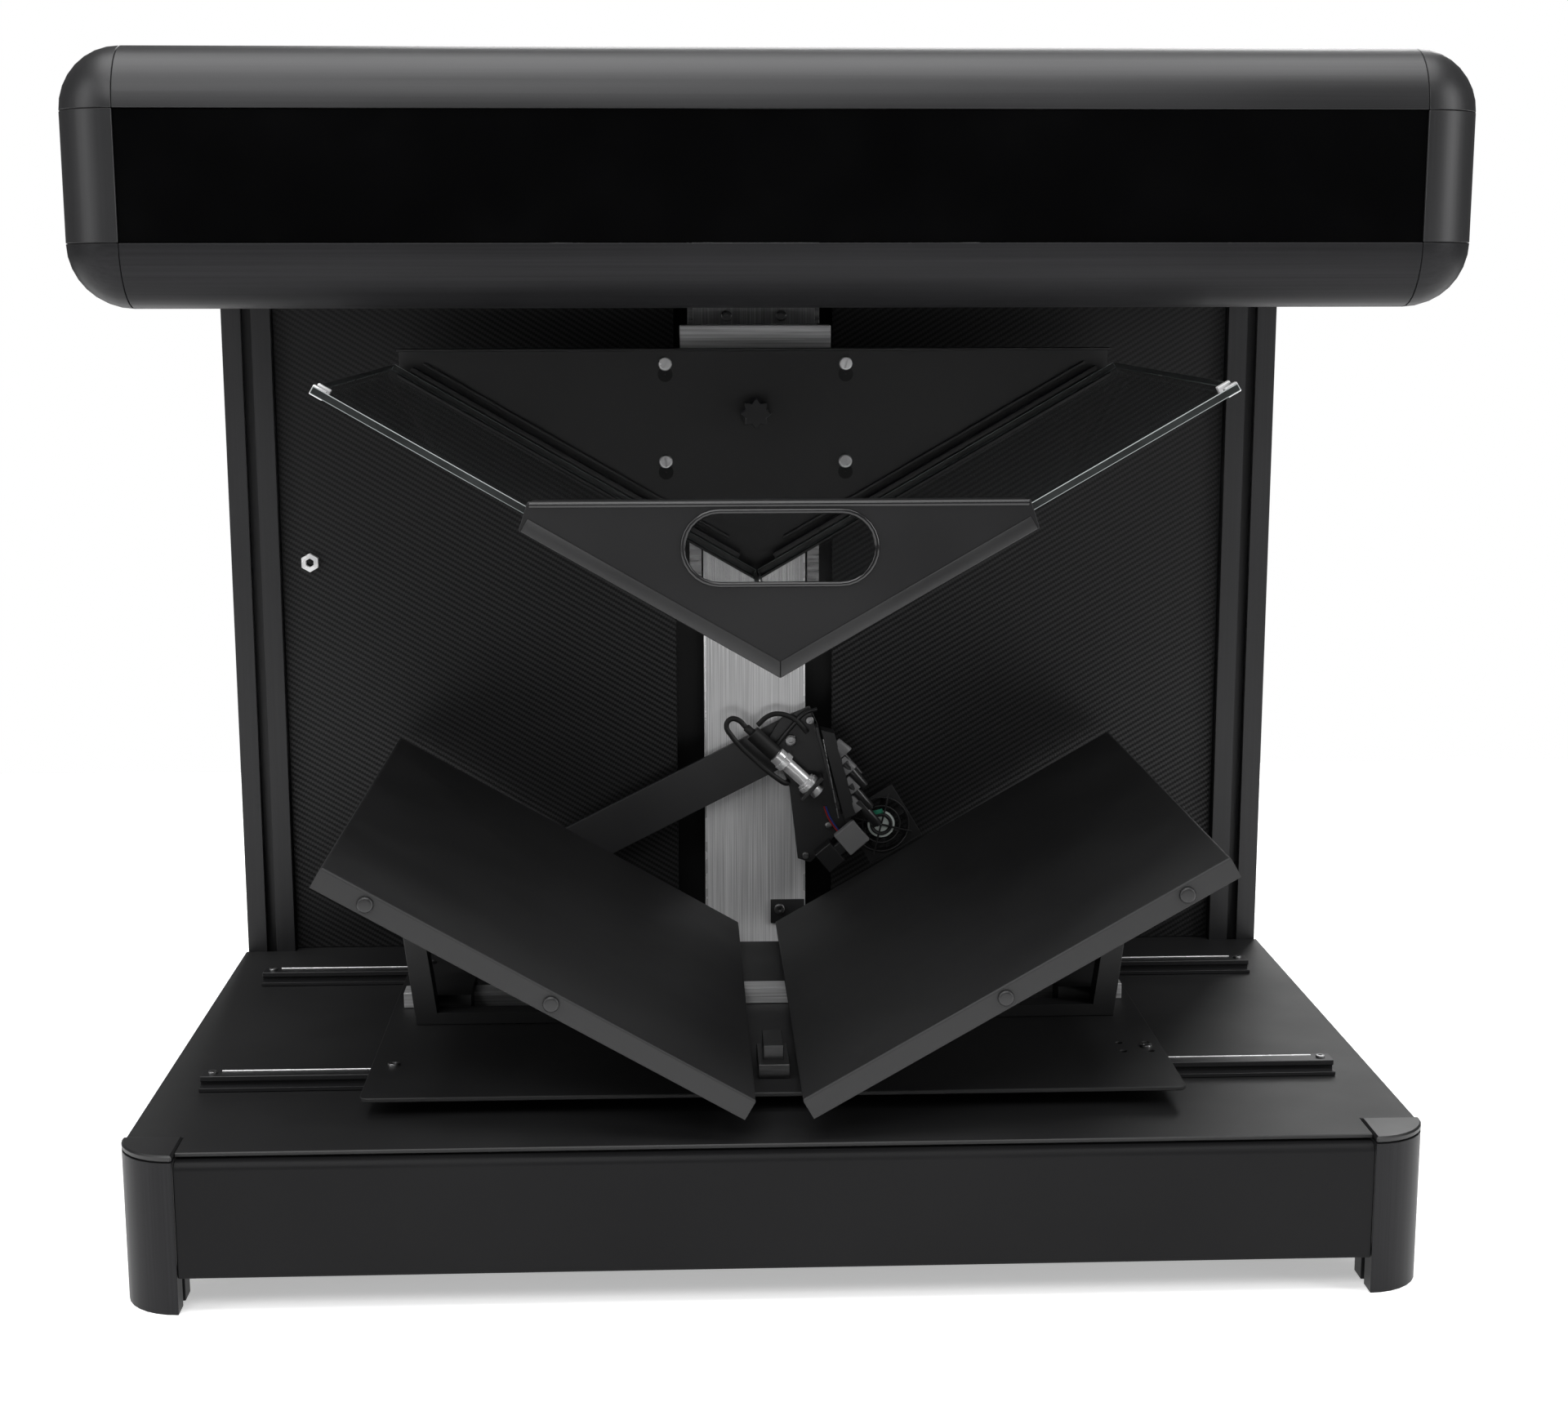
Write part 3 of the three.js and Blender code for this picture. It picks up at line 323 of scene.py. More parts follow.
weave_left = carbon_weave("carbon_weave_left", 1.0)
weave_right = carbon_weave("carbon_weave_right", -1.0)
lean = math.degrees(math.atan2(CELL_UP, CELL_ACROSS))
print("the ridges of the weave rise at", round(lean), "degrees")

# %% [markdown]
# ## Bright metal
# Brushed aluminium is a field of long scratches in one direction: a noise at least a hundred times
# longer than it is wide drives both its colour and its roughness. Turned steel screws are smoother.

# %% Bright metal


def brushed(name, stretch, dark=0.33, light=0.62, rough=0.34, depth=0.05, metallic=1.0):
    """Metal with scratches along one direction."""
    material, tree, shader = new_finish(name, (light, light, light), rough, metallic)
    scratches = stretched_noise(tree, stretch, 5)
    clouds = stretched_noise(tree, (6, 6, 6), 3)
    streaks = maths(tree, "MULTIPLY", scratches, 0.7)
    factor = maths(tree, "ADD", streaks, maths(tree, "MULTIPLY", clouds, 0.3))
    tones = ((dark, dark, dark * 1.01), (light, light, light * 1.01))
    colour = shades(tree, between(tree, factor, 0, 1, 0.4, 0.6), *tones)
    tree.links.new(colour, shader.inputs["Base Color"])
    tree.links.new(between(tree, scratches, rough - 0.08, rough + 0.12), shader.inputs["Roughness"])
    raise_grain(tree, shader, scratches, 0.2, depth * MM)
    return material


brushed_up = brushed("brushed_aluminium_up", (2300, 2300, 9), 0.5, 0.95, 0.4, metallic=0.3)
brushed_across = brushed("brushed_aluminium_across", (9, 900, 900), 0.42, 0.72, 0.4, metallic=0.45)
# Painted shade: a darker copy of the brushed aluminium, for the carriage plate that sits in shade under the
# hood behind the platen.
brushed_painted_shade = brushed("brushed_aluminium_painted_shade", (1300, 1300, 7), 0.2, 0.4, 0.42, metallic=0.6)
bright_steel = brushed("bright_steel", (60, 60, 60), 0.75, 0.95, 0.24, 0.004, metallic=0.4)
worn_steel = brushed("worn_steel", (40, 300, 300), 0.2, 0.38, 0.3, 0.01)
dark_steel = brushed("dark_steel", (30, 400, 400), 0.05, 0.1, 0.38, 0.01)
print("bright metals:", brushed_up.name, brushed_across.name, brushed_painted_shade.name, bright_steel.name)

# %% [markdown]
# ## Plastic, rubber, gloss panel and glass
# Moulded plastic has a fine spark-eroded texture. The name panel is a gloss sheet with nothing on it
# here. The panes are lightly smoked: a clear face that hides more than a quarter of what lies behind,
# a dark ground edge, and a pale bevel that is a painted highlight.

# %% Plastic, rubber, gloss and glass


def moulded(name, colour, rough, grain=0.25, scale=1200):
    """Moulded plastic or rubber with a fine texture."""
    material, tree, shader = new_finish(name, colour, rough)
    texture = stretched_noise(tree, (scale, scale, scale), 2)
    patches = stretched_noise(tree, (12, 12, 12), 3)
    lighter = tuple(min(1.0, c * 1.35) for c in colour)
    tree.links.new(shades(tree, between(tree, patches, 0, 1), colour, lighter), shader.inputs["Base Color"])
    tree.links.new(between(tree, patches, rough - 0.05, rough + 0.07), shader.inputs["Roughness"])
    raise_grain(tree, shader, texture, grain, 0.06 * MM)
    return material


black_plastic = moulded("black_plastic", (0.008, 0.008, 0.0085), 0.4)
grey_plastic = moulded("grey_plastic", (0.05, 0.052, 0.055), 0.4)
cup_grey = moulded("cup_grey", (0.12, 0.12, 0.122), 0.4)
valve_grey = moulded("valve_grey", (0.15, 0.15, 0.152), 0.45)
knob_plastic = moulded("knob_plastic", (0.02, 0.02, 0.021), 0.3)
hose_black = moulded("hose_black", (0.012, 0.012, 0.0125), 0.28, 0.1)
lip_lacquer = moulded("lip_lacquer", (0.008, 0.008, 0.0085), 0.2, 0.05)
rubber = moulded("rubber", (0.007, 0.007, 0.007), 0.62, 0.4)
gloss_panel = moulded("gloss_panel", (0.0006, 0.0006, 0.0007), 0.2, 0.02, 300)
gloss_panel.node_tree.nodes["Principled BSDF"].inputs["Specular IOR Level"].default_value = 0.12
lamp_cover = moulded("lamp_cover", (0.8, 0.8, 0.77), 0.35, 0.1)
fan_label = moulded("fan_label", (0.55, 0.6, 0.57), 0.4, 0.1)
fan_green = moulded("fan_green", (0.02, 0.22, 0.13), 0.4, 0.1)
wire_red = moulded("wire_red", (0.35, 0.02, 0.015), 0.4, 0.1)
wire_blue = moulded("wire_blue", (0.02, 0.05, 0.3), 0.4, 0.1)
lens_glass = moulded("lens_glass", (0.004, 0.004, 0.012), 0.06, 0.0, 10)
# Painted shade: this black is used only for the keyhole discs, which stand for the shaded hole.
painted_shade_black = moulded("painted_shade_black", (0.002, 0.002, 0.002), 0.8, 0.0, 10)

pane_face, pane_tree, pane_shader = new_finish("pane_face", (0.012, 0.014, 0.014), 0.04)
smears = stretched_noise(pane_tree, (9, 9, 9), 4)
pane_tree.links.new(between(pane_tree, smears, 0.03, 0.09), pane_shader.inputs["Roughness"])
pane_tree.links.new(between(pane_tree, smears, 0.26, 0.32), pane_shader.inputs["Alpha"])
pane_edge, edge_tree, edge_shader = new_finish("pane_edge", (0.05, 0.055, 0.055), 0.3)
ground = stretched_noise(edge_tree, (40, 90, 40), 5)
edge_tree.links.new(
    shades(edge_tree, between(edge_tree, ground, 0, 1), (0.006, 0.007, 0.007), (0.02, 0.023, 0.023)),
    edge_shader.inputs["Base Color"])
# Painted highlight: the narrow glass bevels are coloured pale grey for the bright line of light along the
# pane edges.
painted_highlight_bevel = moulded("painted_highlight_bevel", (0.16, 0.18, 0.18), 0.22, 0.1, 90)
print("plastics, rubber and glass ready")

# %% [markdown]
# ## Making a piece
# A piece is a small mesh that rides on one of the machine's moving bodies. Every mesh leaves the
# workshop the same way: doubles merged, faces outwards, smooth over gentle curves and sharp at edges.

# %% Making a piece


def finish_piece(name, mesh, material, node, others=(), sharp=31):
    """Turns a bmesh into an object that rides with the body of a solid part."""
    bmesh.ops.remove_doubles(mesh, verts=mesh.verts, dist=1e-7)
    bmesh.ops.recalc_face_normals(mesh, faces=mesh.faces)
    data = bpy.data.meshes.new(name)
    mesh.to_mesh(data)
    mesh.free()
    for each in (material, *others):
        data.materials.append(each)
    data.shade_smooth()
    data.set_sharp_from_angle(angle=math.radians(sharp))
    piece = bpy.data.objects.new(name, data)
    scene.collection.objects.link(piece)
    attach(piece, body_of[node])
    return piece


def break_edges(mesh, width, segments=1, above=32, only=None):
    """Takes the sharp convex edges of a mesh down, as a deburring tool or a fold does."""
    edges = [e for e in mesh.edges if len(e.link_faces) == 2 and e.is_convex
             and e.calc_face_angle(0) > math.radians(above) and (only is None or only(e))]
    bmesh.ops.bevel(mesh, geom=edges, offset=width, offset_type="OFFSET", segments=segments,
                    profile=0.5, affect="EDGES", clamp_overlap=False, material=-1)


def copy_of(node):
    """A solid part as a clean bmesh, its loose triangles merged into faces."""
    mesh = bmesh.new()
    mesh.from_mesh(frame["nodes"][node].data)
    bmesh.ops.remove_doubles(mesh, verts=mesh.verts, dist=1e-6)
    bmesh.ops.dissolve_limit(mesh, angle_limit=math.radians(0.5), verts=mesh.verts, edges=mesh.edges)
    return mesh


def keep_flat(piece):
    """Lets the large faces of a piece decide how its corners are shaded."""
    piece.modifiers.new("flat faces stay flat", "WEIGHTED_NORMAL").keep_sharp = True


def refine(node, material, edge=0.35 * MM):
    """A solid part with its edges broken and its real finish."""
    mesh = copy_of(node)
    break_edges(mesh, edge)
    piece = finish_piece(node + "_made", mesh, material, node)
    keep_flat(piece)
    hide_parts(node)
    return piece


# %% [markdown]
# ## The solid parts in their finishes
# A real edge is never perfectly sharp, and on a black machine it is the thin line of light along a
# broken edge that shows the shape. Cut profiles have small burr-free edges, folded sheet has a larger
# radius on its bends, and moulded parts are rounder still. Each solid is copied, its edges are broken
# by its own width, and the copy stands for it.

# %% The solid parts in their finishes
finishes = {
    profile_x: ["hood_top_rail", "front_slide_rail", "rear_slide_rail", "hood_cover"],
    bottom_rail_painted_shade: ["hood_bottom_rail", "hood_corner_bottom_left", "hood_corner_bottom_right"],
    post_painted_shade: ["front_post_left", "front_post_right"],
    profile_z: ["upright_left", "upright_right", "hood_left_rail", "hood_right_rail",
                "hood_corner_top_left", "hood_corner_top_right"],
    beam_painted_shade: ["front_beam"],
    head_coat: ["arm_bar", "head_plate"],
    deck_coat: ["base_plate", "base_skirt", "rear_cover", "carriage_sheet"],
    sheet_coat: ["cradle_support_left", "cradle_support_right", "platen_back_plate"],
    black_plastic: ["post_cap_left", "post_cap_right", "power_inlet", "fan_frame", "fan_rotor",
                    "camera_left", "camera_right", "lift_motor", "arm_motor", "suction_head"],
    gloss_panel: ["name_panel"],
    weave_left: ["back_panel_left"],
    weave_right: ["back_panel_right"],
    knob_plastic: ["star_knob"],
    brushed_up: ["axis_column"],
    brushed_painted_shade: ["carriage_plate"],
    brushed_across: ["platen_bracket", "spread_bar"],
    bright_steel: ["pulley_lower", "pulley_upper"],
    worn_steel: ["carriage_saddle"],
    dark_steel: ["spread_clamp"],
    grey_plastic: ["front_runner", "rear_runner"],
    lamp_cover: ["lamp_bar_left", "lamp_bar_right"],
    rubber: ["lift_belt"],
}
edge_width = {"front_beam": 0.8, "base_plate": 0.6, "post_cap_left": 1.2, "post_cap_right": 1.2,
              "platen_bracket": 0.8, "carriage_sheet": 0.5, "fan_rotor": 0.15, "fan_frame": 0.25,
              "star_knob": 0.6, "camera_left": 1.5, "camera_right": 1.5, "power_inlet": 0.8}
for material, nodes in finishes.items():
    for node in nodes:
        refine(node, material, edge_width.get(node, 0.35) * MM)
print(sum(len(nodes) for nodes in finishes.values()), "parts finished")

# %% [markdown]
# ## Cradle plates
# Each plate is one sheet with its rim folded down on a press brake. The bend is a real radius of about
# two millimetres, wide enough to carry a bright line along the front. Only the upper edges are bends,
# so only those are rounded with several segments.

# %% Cradle plates


def folded(node, material, radius, keep):
    """A part of bent sheet: wide bends where keep says, fine edges elsewhere."""
    mesh = copy_of(node)
    break_edges(mesh, radius, 4, only=keep)
    break_edges(mesh, 0.3 * MM, 1, above=50)
    piece = finish_piece(node + "_made", mesh, material, node, sharp=35)
    keep_flat(piece)
    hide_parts(node)
    return piece


BEND_RADIUS = 2.2 * MM
slope = math.radians(30)
for side, node in ((-1, "cradle_plate_left"), (1, "cradle_plate_right")):
    up = Vector((-side * math.sin(slope), 0, math.cos(slope)))

    def around_top(edge, up=up):
        facing = sorted(abs(face.normal.dot(up)) for face in edge.link_faces)
        large = max(face.calc_area() for face in edge.link_faces)
        return facing[0] < 0.2 and facing[1] > 0.9 and large > 0.01

    plate = folded(node, cradle_coat, BEND_RADIUS, around_top)
    print(node, len(plate.data.polygons), "faces")

# %% [markdown]
# ## Platen: front plate and panes
# The front plate is a kite of sheet steel. Its lower edges are folded and its top edge is rolled so
# that it does not cut the hand. Each pane's faces are told apart by their area: the two large ones
# keep the clear glass, the cut edges take the ground finish and the narrow bevels a pale painted highlight.

# %% Platen front plate and panes
LARGE_FACE = 0.05      # square metres
CUT_EDGE = 0.0006      # square metres
refine("platen_front_plate", plate_coat, 0.5 * MM)
for node in ("glass_left", "glass_right"):
    mesh = copy_of(node)
    break_edges(mesh, 0.5 * MM, 1)
    for face in mesh.faces:
        area = face.calc_area()
        # Faces of index 2 are the narrow bevels, which take the painted highlight.
        face.material_index = 0 if area > LARGE_FACE else 1 if area > CUT_EDGE else 2
    pane = finish_piece(node + "_made", mesh, pane_face, node, (pane_edge, painted_highlight_bevel))
    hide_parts(node)
    print(node, "edges", sum(face.material_index > 0 for face in pane.data.polygons))

# %% [markdown]
# ## Sensor lead
# The page sensor's lead leaves its plug, turns back in a tight loop and ends in the head plate. It is
# held at both ends, so it keeps this shape. A curve with a round bevel is the natural way to make it.

# %% Sensor lead


def tube(name, points, radius, material, node, closed=False, smooth=True):
    """A round bar, wire or hose along points, as a curve with a round section."""
    data = bpy.data.curves.new(name, "CURVE")
    data.dimensions = "3D"
    data.bevel_depth = radius
    data.bevel_resolution = 3
    data.resolution_u = 8
    data.use_fill_caps = True
    spline = data.splines.new("BEZIER" if smooth else "POLY")
    count = spline.bezier_points if smooth else spline.points
    count.add(len(points) - 1)
    for place, point in zip(count, points):
        if smooth:
            place.co = point
            place.handle_left_type = place.handle_right_type = "AUTO"
        else:
            place.co = (*point, 1)
    spline.use_cyclic_u = closed
    data.materials.append(material)
    piece = bpy.data.objects.new(name, data)
    scene.collection.objects.link(piece)
    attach(piece, body_of[node])
    return piece


head_pivot = Vector((29.85, 0, 293.13)) * MM
lead_route = [
    (-38.22, 212, 13.2), (-45, 212, 19.5), (-51, 212, 20), (-54.5, 212, 14.5), (-50, 212, 5.5),
    (-42, 212, -4), (-33, 211, -12.5), (-23, 209, -21.5), (-13, 208, -29.5), (-6, 210, -34.5),
    (-3, 216, -36), (-3, 221.4, -36),
]
lead_path = [head_pivot + Vector(point) * MM for point in lead_route]
lead = tube("sensor_lead_made", lead_path, 2.3 * MM, rubber, "sensor_lead")
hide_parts("sensor_lead")
length = sum((b - a).length for a, b in zip(lead_path, lead_path[1:]))
print("sensor lead about", round(length * 1000), "mm")

# %% [markdown]
# ## Page sensor
# The sensor is one turned stack: a moulded rubber plug, a knurled ring and a threaded metal body. It
# is a single solid, so its faces are shared out by their distance along the axis from the lead.

# %% Page sensor
PLUG_LENGTH = 34 * MM
SENSOR_DIP = math.radians(43)
sensor_axis = Vector((math.cos(SENSOR_DIP), 0, -math.sin(SENSOR_DIP)))
mesh = copy_of("page_sensor")
break_edges(mesh, 0.35 * MM, 1)
for face in mesh.faces:
    along_axis = (face.calc_center_median() - lead_path[0]).dot(sensor_axis)
    face.material_index = 1 if along_axis < PLUG_LENGTH + 0.6 * MM else 0
sensor = finish_piece("page_sensor_made", mesh, bright_steel, "page_sensor", (rubber,))
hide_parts("page_sensor")
print("page sensor", len(sensor.data.polygons), "faces")

# %% [markdown]
# ## Vacuum valve
# The valve is one solid with two blocks: a grey body and a black foot. The faces are shared out by which
# side of the middle between the two blocks they lie on.

# %% Vacuum valve
valve_body = head_pivot + Vector((51, 0, -81.5)) * MM
valve_foot = head_pivot + Vector((32.5, 0, -98.5)) * MM
mesh = copy_of("vacuum_valve")
break_edges(mesh, 0.6 * MM, 1)
for face in mesh.faces:
    middle = face.calc_center_median()
    middle.y = 0
    face.material_index = int((middle - valve_foot).length < (middle - valve_body).length)
valve = finish_piece("vacuum_valve_made", mesh, valve_grey, "vacuum_valve", (black_plastic,))
keep_flat(valve)
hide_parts("vacuum_valve")
print("valve", len(valve.data.polygons), "faces")

# %% [markdown]
# ## Screws and plugs
# Three kinds of fastener show: slotted screws in keyholes, socket screws, and dark dome plugs. One
# function turns each: a disc whose rim is rounded, with its drive cut into an inner ring of the top
# face. It is made lying on the origin and then moved onto its face.

# %% Screws and plugs


def place_on(at, normal):
    """Turns a piece made on the origin so that it stands on a face."""
    return Matrix.Translation(at) @ Vector(normal).to_track_quat("Z", "Y").to_matrix().to_4x4()


def screw_mesh(radius, height, drive, turn=0.0):
    """A head with a slot, a socket or a dome."""
    mesh = bmesh.new()
    bmesh.ops.create_cone(mesh, cap_ends=True, segments=28, radius1=radius, radius2=radius, depth=height,
                          matrix=Matrix.Translation((0, 0, height / 2)))
    rim = [e for e in mesh.edges if all(v.co.z > height * 0.9 for v in e.verts)]
    if drive == "dome":
        bmesh.ops.bevel(mesh, geom=rim, offset=min(radius, height) * 0.8, segments=6, profile=0.5,
                        affect="EDGES", clamp_overlap=False, material=-1)
        return mesh
    bmesh.ops.bevel(mesh, geom=rim, offset=height * 0.22, segments=3, profile=0.5,
                    affect="EDGES", clamp_overlap=False, material=-1)

    def flat_top():
        return [f for f in mesh.faces if f.normal.z > 0.99 and f.calc_center_median().z > height * 0.999]

    top = max(mesh.faces, key=lambda f: f.normal.z * f.calc_area())
    inner = radius * (0.16 if drive == "slot" else 0.42)
    bmesh.ops.inset_region(mesh, faces=[top], thickness=inner, depth=0)
    if drive == "slot":
        for sign in (-1, 1):
            disc = [f for f in flat_top() if len(f.verts) > 4]
            geom = disc + [e for f in disc for e in f.edges] + [v for f in disc for v in f.verts]
            bmesh.ops.bisect_plane(mesh, geom=list(set(geom)), plane_co=(0, sign * radius * 0.13, 0),
                                   plane_no=(0, 1, 0))
        top = min(flat_top(), key=lambda f: f.calc_center_median().xy.length)
    sunk = bmesh.ops.extrude_discrete_faces(mesh, faces=[top])["faces"][0]
    bmesh.ops.translate(mesh, verts=sunk.verts, vec=(0, 0, -height * 0.55))
    bmesh.ops.rotate(mesh, verts=mesh.verts, matrix=Matrix.Rotation(turn, 3, "Z"))
    return mesh


def screw(name, at, normal, radius, height, drive, material, node, turn=0.0):
    """A screw head or plug in its place."""
    mesh = screw_mesh(radius, height, drive, turn)
    bmesh.ops.transform(mesh, matrix=place_on(at, normal), verts=mesh.verts)
    return finish_piece(name, mesh, material, node)


def ring(name, at, normal, outer, inner, height, material, node, sides=28):
    """A washer, nut or bushing: a disc with a hole through it."""
    mesh = bmesh.new()
    bmesh.ops.create_circle(mesh, cap_ends=False, segments=sides, radius=outer)
    rim = list(mesh.edges)
    hole = bmesh.ops.create_circle(mesh, cap_ends=False, segments=sides, radius=inner)
    edges = {e for v in hole["verts"] for e in v.link_edges}
    bmesh.ops.bridge_loops(mesh, edges=rim + list(edges))
    lifted = bmesh.ops.extrude_face_region(mesh, geom=list(mesh.faces))["geom"]
    bmesh.ops.translate(mesh, verts=[g for g in lifted if isinstance(g, bmesh.types.BMVert)],
                        vec=(0, 0, height))
    bmesh.ops.recalc_face_normals(mesh, faces=mesh.faces)
    break_edges(mesh, min(0.3 * MM, height / 4))
    bmesh.ops.transform(mesh, matrix=place_on(at, normal), verts=mesh.verts)
    return finish_piece(name, mesh, material, node)


FRONT = Vector((0, -1, 0))
BACK = Vector((0, 1, 0))
UP = Vector((0, 0, 1))
print("screws, plugs and rings can be placed on any face")

# %% [markdown]
# ## Fasteners of the platen
# Four slotted screws hold the back plate through keyholes, so that it lifts off for cleaning. Under
# each head a dark disc is painted shade for the round end of the keyhole. Two socket screws hold the
# carriage.

# %% Fasteners of the platen
PLATE_THICKNESS = 2 * MM
plate_face = corners("platen_back_plate")[1].y - PLATE_THICKNESS
knob_low, knob_high = corners("star_knob")
knob_height = (knob_low.z + knob_high.z) / 2
KEYHOLE_RISES = (39.5 * MM, -39 * MM)      # above and below the knob
KEYHOLE_SIDE = 73 * MM
for row, rise in enumerate(KEYHOLE_RISES):
    for column, x in enumerate((-KEYHOLE_SIDE, KEYHOLE_SIDE)):
        name = f"keyhole_screw_{row * 2 + column + 1}"
        place = Vector((x, plate_face, knob_height + rise))
        screw(name, place + FRONT * 0.6 * MM, FRONT, 5 * MM, 2.6 * MM, "slot", bright_steel,
              "platen_back_plate", 1.0 + 0.7 * row + 0.3 * column)
        ring(name + "_washer", place, FRONT, 5.6 * MM, 2.5 * MM, 0.6 * MM, worn_steel, "platen_back_plate")
        # A thin black disc below each screw: painted shade for the round end of the keyhole.
        ring(name + "_keyhole_painted_shade", place - UP * 8.5 * MM, FRONT, 6 * MM, 0.5 * MM, 0.25 * MM, painted_shade_black,
             "platen_back_plate")
carriage_low = corners("carriage_plate")[0]
for name, x in (("carriage_screw_left", -22.5 * MM), ("carriage_screw_right", 22.5 * MM)):
    place = Vector((x, carriage_low.y, carriage_low.z + 6.5 * MM))
    screw(name, place, FRONT, 4.5 * MM, 4 * MM, "socket", worn_steel, "carriage_plate")
print("4 screws in keyholes and 2 in the carriage")

# %% [markdown]
# ## Rims of the platen
# A round bar along the top and a rolled lip round the hand slot stand for the rolled edges of the front
# plate. The lower fold is a narrow strip that stands a little proud along both arms of the V.

# %% Rims of the platen
front_low, front_high = corners("platen_front_plate")
roll = 2.2 * MM
roll_y = front_low.y + 1.2 * MM
roll_z = front_high.z - roll
top_half = front_high.x - 7 * MM
tube("front_plate_rolled_edge", [(-top_half, roll_y, roll_z), (top_half, roll_y, roll_z)], roll,
     lip_lacquer, "platen_front_plate", smooth=False)

SLOT_HALF = 38 * MM
LIP_RADIUS = 23 * MM
slot_height = front_high.z - 29.5 * MM
lip = []
for side in (1, -1):
    for step in range(15):
        angle = math.pi * (step / 14 - 0.5 * side)
        lip.append((side * SLOT_HALF + LIP_RADIUS * math.cos(angle), front_low.y + 0.5 * MM,
                    slot_height + LIP_RADIUS * math.sin(angle)))
tube("hand_slot_lip", lip, 1.8 * MM, lip_lacquer, "platen_front_plate", closed=True, smooth=False)
print("hand slot", round((SLOT_HALF + LIP_RADIUS) * 2000), "mm long")

strip_width = 9 * MM
for side, word in ((-1, "left"), (1, "right")):
    mesh = bmesh.new()
    bmesh.ops.create_cube(mesh, size=1)
    long = (front_high.x - 1.5 * MM) / math.cos(slope)
    bmesh.ops.scale(mesh, verts=mesh.verts, vec=(long, 1.4 * MM, strip_width))
    bmesh.ops.translate(mesh, verts=mesh.verts, vec=(long / 2, 0, strip_width / 2))
    bmesh.ops.rotate(mesh, verts=mesh.verts, matrix=Matrix.Rotation(-slope, 3, "Y"))
    bmesh.ops.translate(mesh, verts=mesh.verts, vec=(0, front_low.y - 0.1 * MM, front_low.z + 0.4 * MM))
    for plane, normal in (((0.2 * MM, 0, 0), (-1, 0, 0)), ((front_high.x - 1 * MM, 0, 0), (1, 0, 0))):
        geom = list(mesh.verts) + list(mesh.edges) + list(mesh.faces)
        cut = bmesh.ops.bisect_plane(mesh, geom=geom, plane_co=plane, plane_no=normal, clear_outer=True)
        loose = [e for e in cut["geom_cut"] if isinstance(e, bmesh.types.BMEdge)]
        bmesh.ops.holes_fill(mesh, edges=loose)
    bmesh.ops.scale(mesh, verts=mesh.verts, vec=(side, 1, 1))
    bmesh.ops.recalc_face_normals(mesh, faces=mesh.faces)
    break_edges(mesh, 0.6 * MM, 2)
    finish_piece(f"front_plate_fold_{word}", mesh, sheet_coat, "platen_front_plate")

# %% [markdown]
# ## Glass holders
# At the back each pane is clamped by a slim strip that follows the V, and at the upper front corner a
# small spring clip of bright steel keeps it from lifting.

# %% Glass holders


def slab(name, centre, size, material, node, turn=0.0, axis="Y", edge=0.4):
    """A small plate: a cube scaled to size, its edges broken, turned and put in place."""
    mesh = bmesh.new()
    bmesh.ops.create_cube(mesh, size=1)
    bmesh.ops.scale(mesh, verts=mesh.verts, vec=[v * MM for v in size])
    break_edges(mesh, edge * MM, 2)
    bmesh.ops.rotate(mesh, verts=mesh.verts, matrix=Matrix.Rotation(turn, 3, axis))
    bmesh.ops.translate(mesh, verts=mesh.verts, vec=Vector(centre))
    return finish_piece(name, mesh, material, node)


pane_low, pane_high = corners("glass_right")
PANE_APEX = 438 * MM      # height of the line where the panes meet
for side, word in ((-1, "left"), (1, "right")):
    tilt = -side * slope
    along = Vector((side * math.cos(slope), 0, math.sin(slope)))
    away = Vector((-side * math.sin(slope), 0, math.cos(slope)))
    foot = Vector((0, 0, PANE_APEX))
    reach = pane_high.x / math.cos(slope)
    for index, (lift, deep, wide) in enumerate(((7.5, 10, 4.5), (16, 3, 2.0))):
        middle = foot + along * (reach / 2 + lift * 0.5 * MM) + away * lift * MM
        middle.y = plate_face - deep / 2 * MM
        size = (reach / MM - 16 - lift * 2.4, deep, wide)
        slab(f"pane_clamp_{word}_{index + 1}", middle, size, sheet_coat, "platen_back_plate", tilt)
    for index, back in enumerate((5, 26)):
        place = foot + along * (reach - 4 * MM) + away * 2.5 * MM
        place.y = pane_low.y + back * MM
        slab(f"pane_clip_{word}_{index + 1}", place, (9, 6, 6.4), bright_steel, "glass_" + word, tilt)
print("each pane is", round(reach * 1000), "mm wide from the apex to its upper edge")

# %% [markdown]
# ## Plugs and screws of the cradle
# Two dome plugs close the holes in each front flange. The flange leans with the plate, so the plugs are
# placed along its slope, half way down the rim.

# %% Plugs and screws of the cradle
CRADLE_INNER_HEIGHT = 140 * MM
PLUG_BELOW_FACE = 8.4 * MM
for side, word in ((-1, "left"), (1, "right")):
    low, high = corners("cradle_plate_" + word)
    inner = min(abs(low.x), abs(high.x))
    for index, x in enumerate((150 * MM, 269 * MM)):
        surface = CRADLE_INNER_HEIGHT + (x - inner) * math.tan(slope)
        place = Vector((side * x, low.y, surface - PLUG_BELOW_FACE / math.cos(slope)))
        screw(f"flange_plug_{word}_{index + 1}", place, FRONT, 5.6 * MM, 2.6 * MM, "dome", black_plastic,
              "cradle_plate_" + word)

sheet_top = corners("carriage_sheet")[1].z
for index, (x, y) in enumerate(((-270, 144), (-270, 415), (270, 415), (274, 162))):
    place = Vector((x * MM, cad_box[0][1] + (y + 16) * MM, sheet_top))
    screw(f"carriage_screw_{index + 1}", place, UP, 4.5 * MM, 1.8 * MM, "socket", worn_steel,
          "carriage_sheet")
print("4 plugs in the front flanges and 4 screws in the sheet")

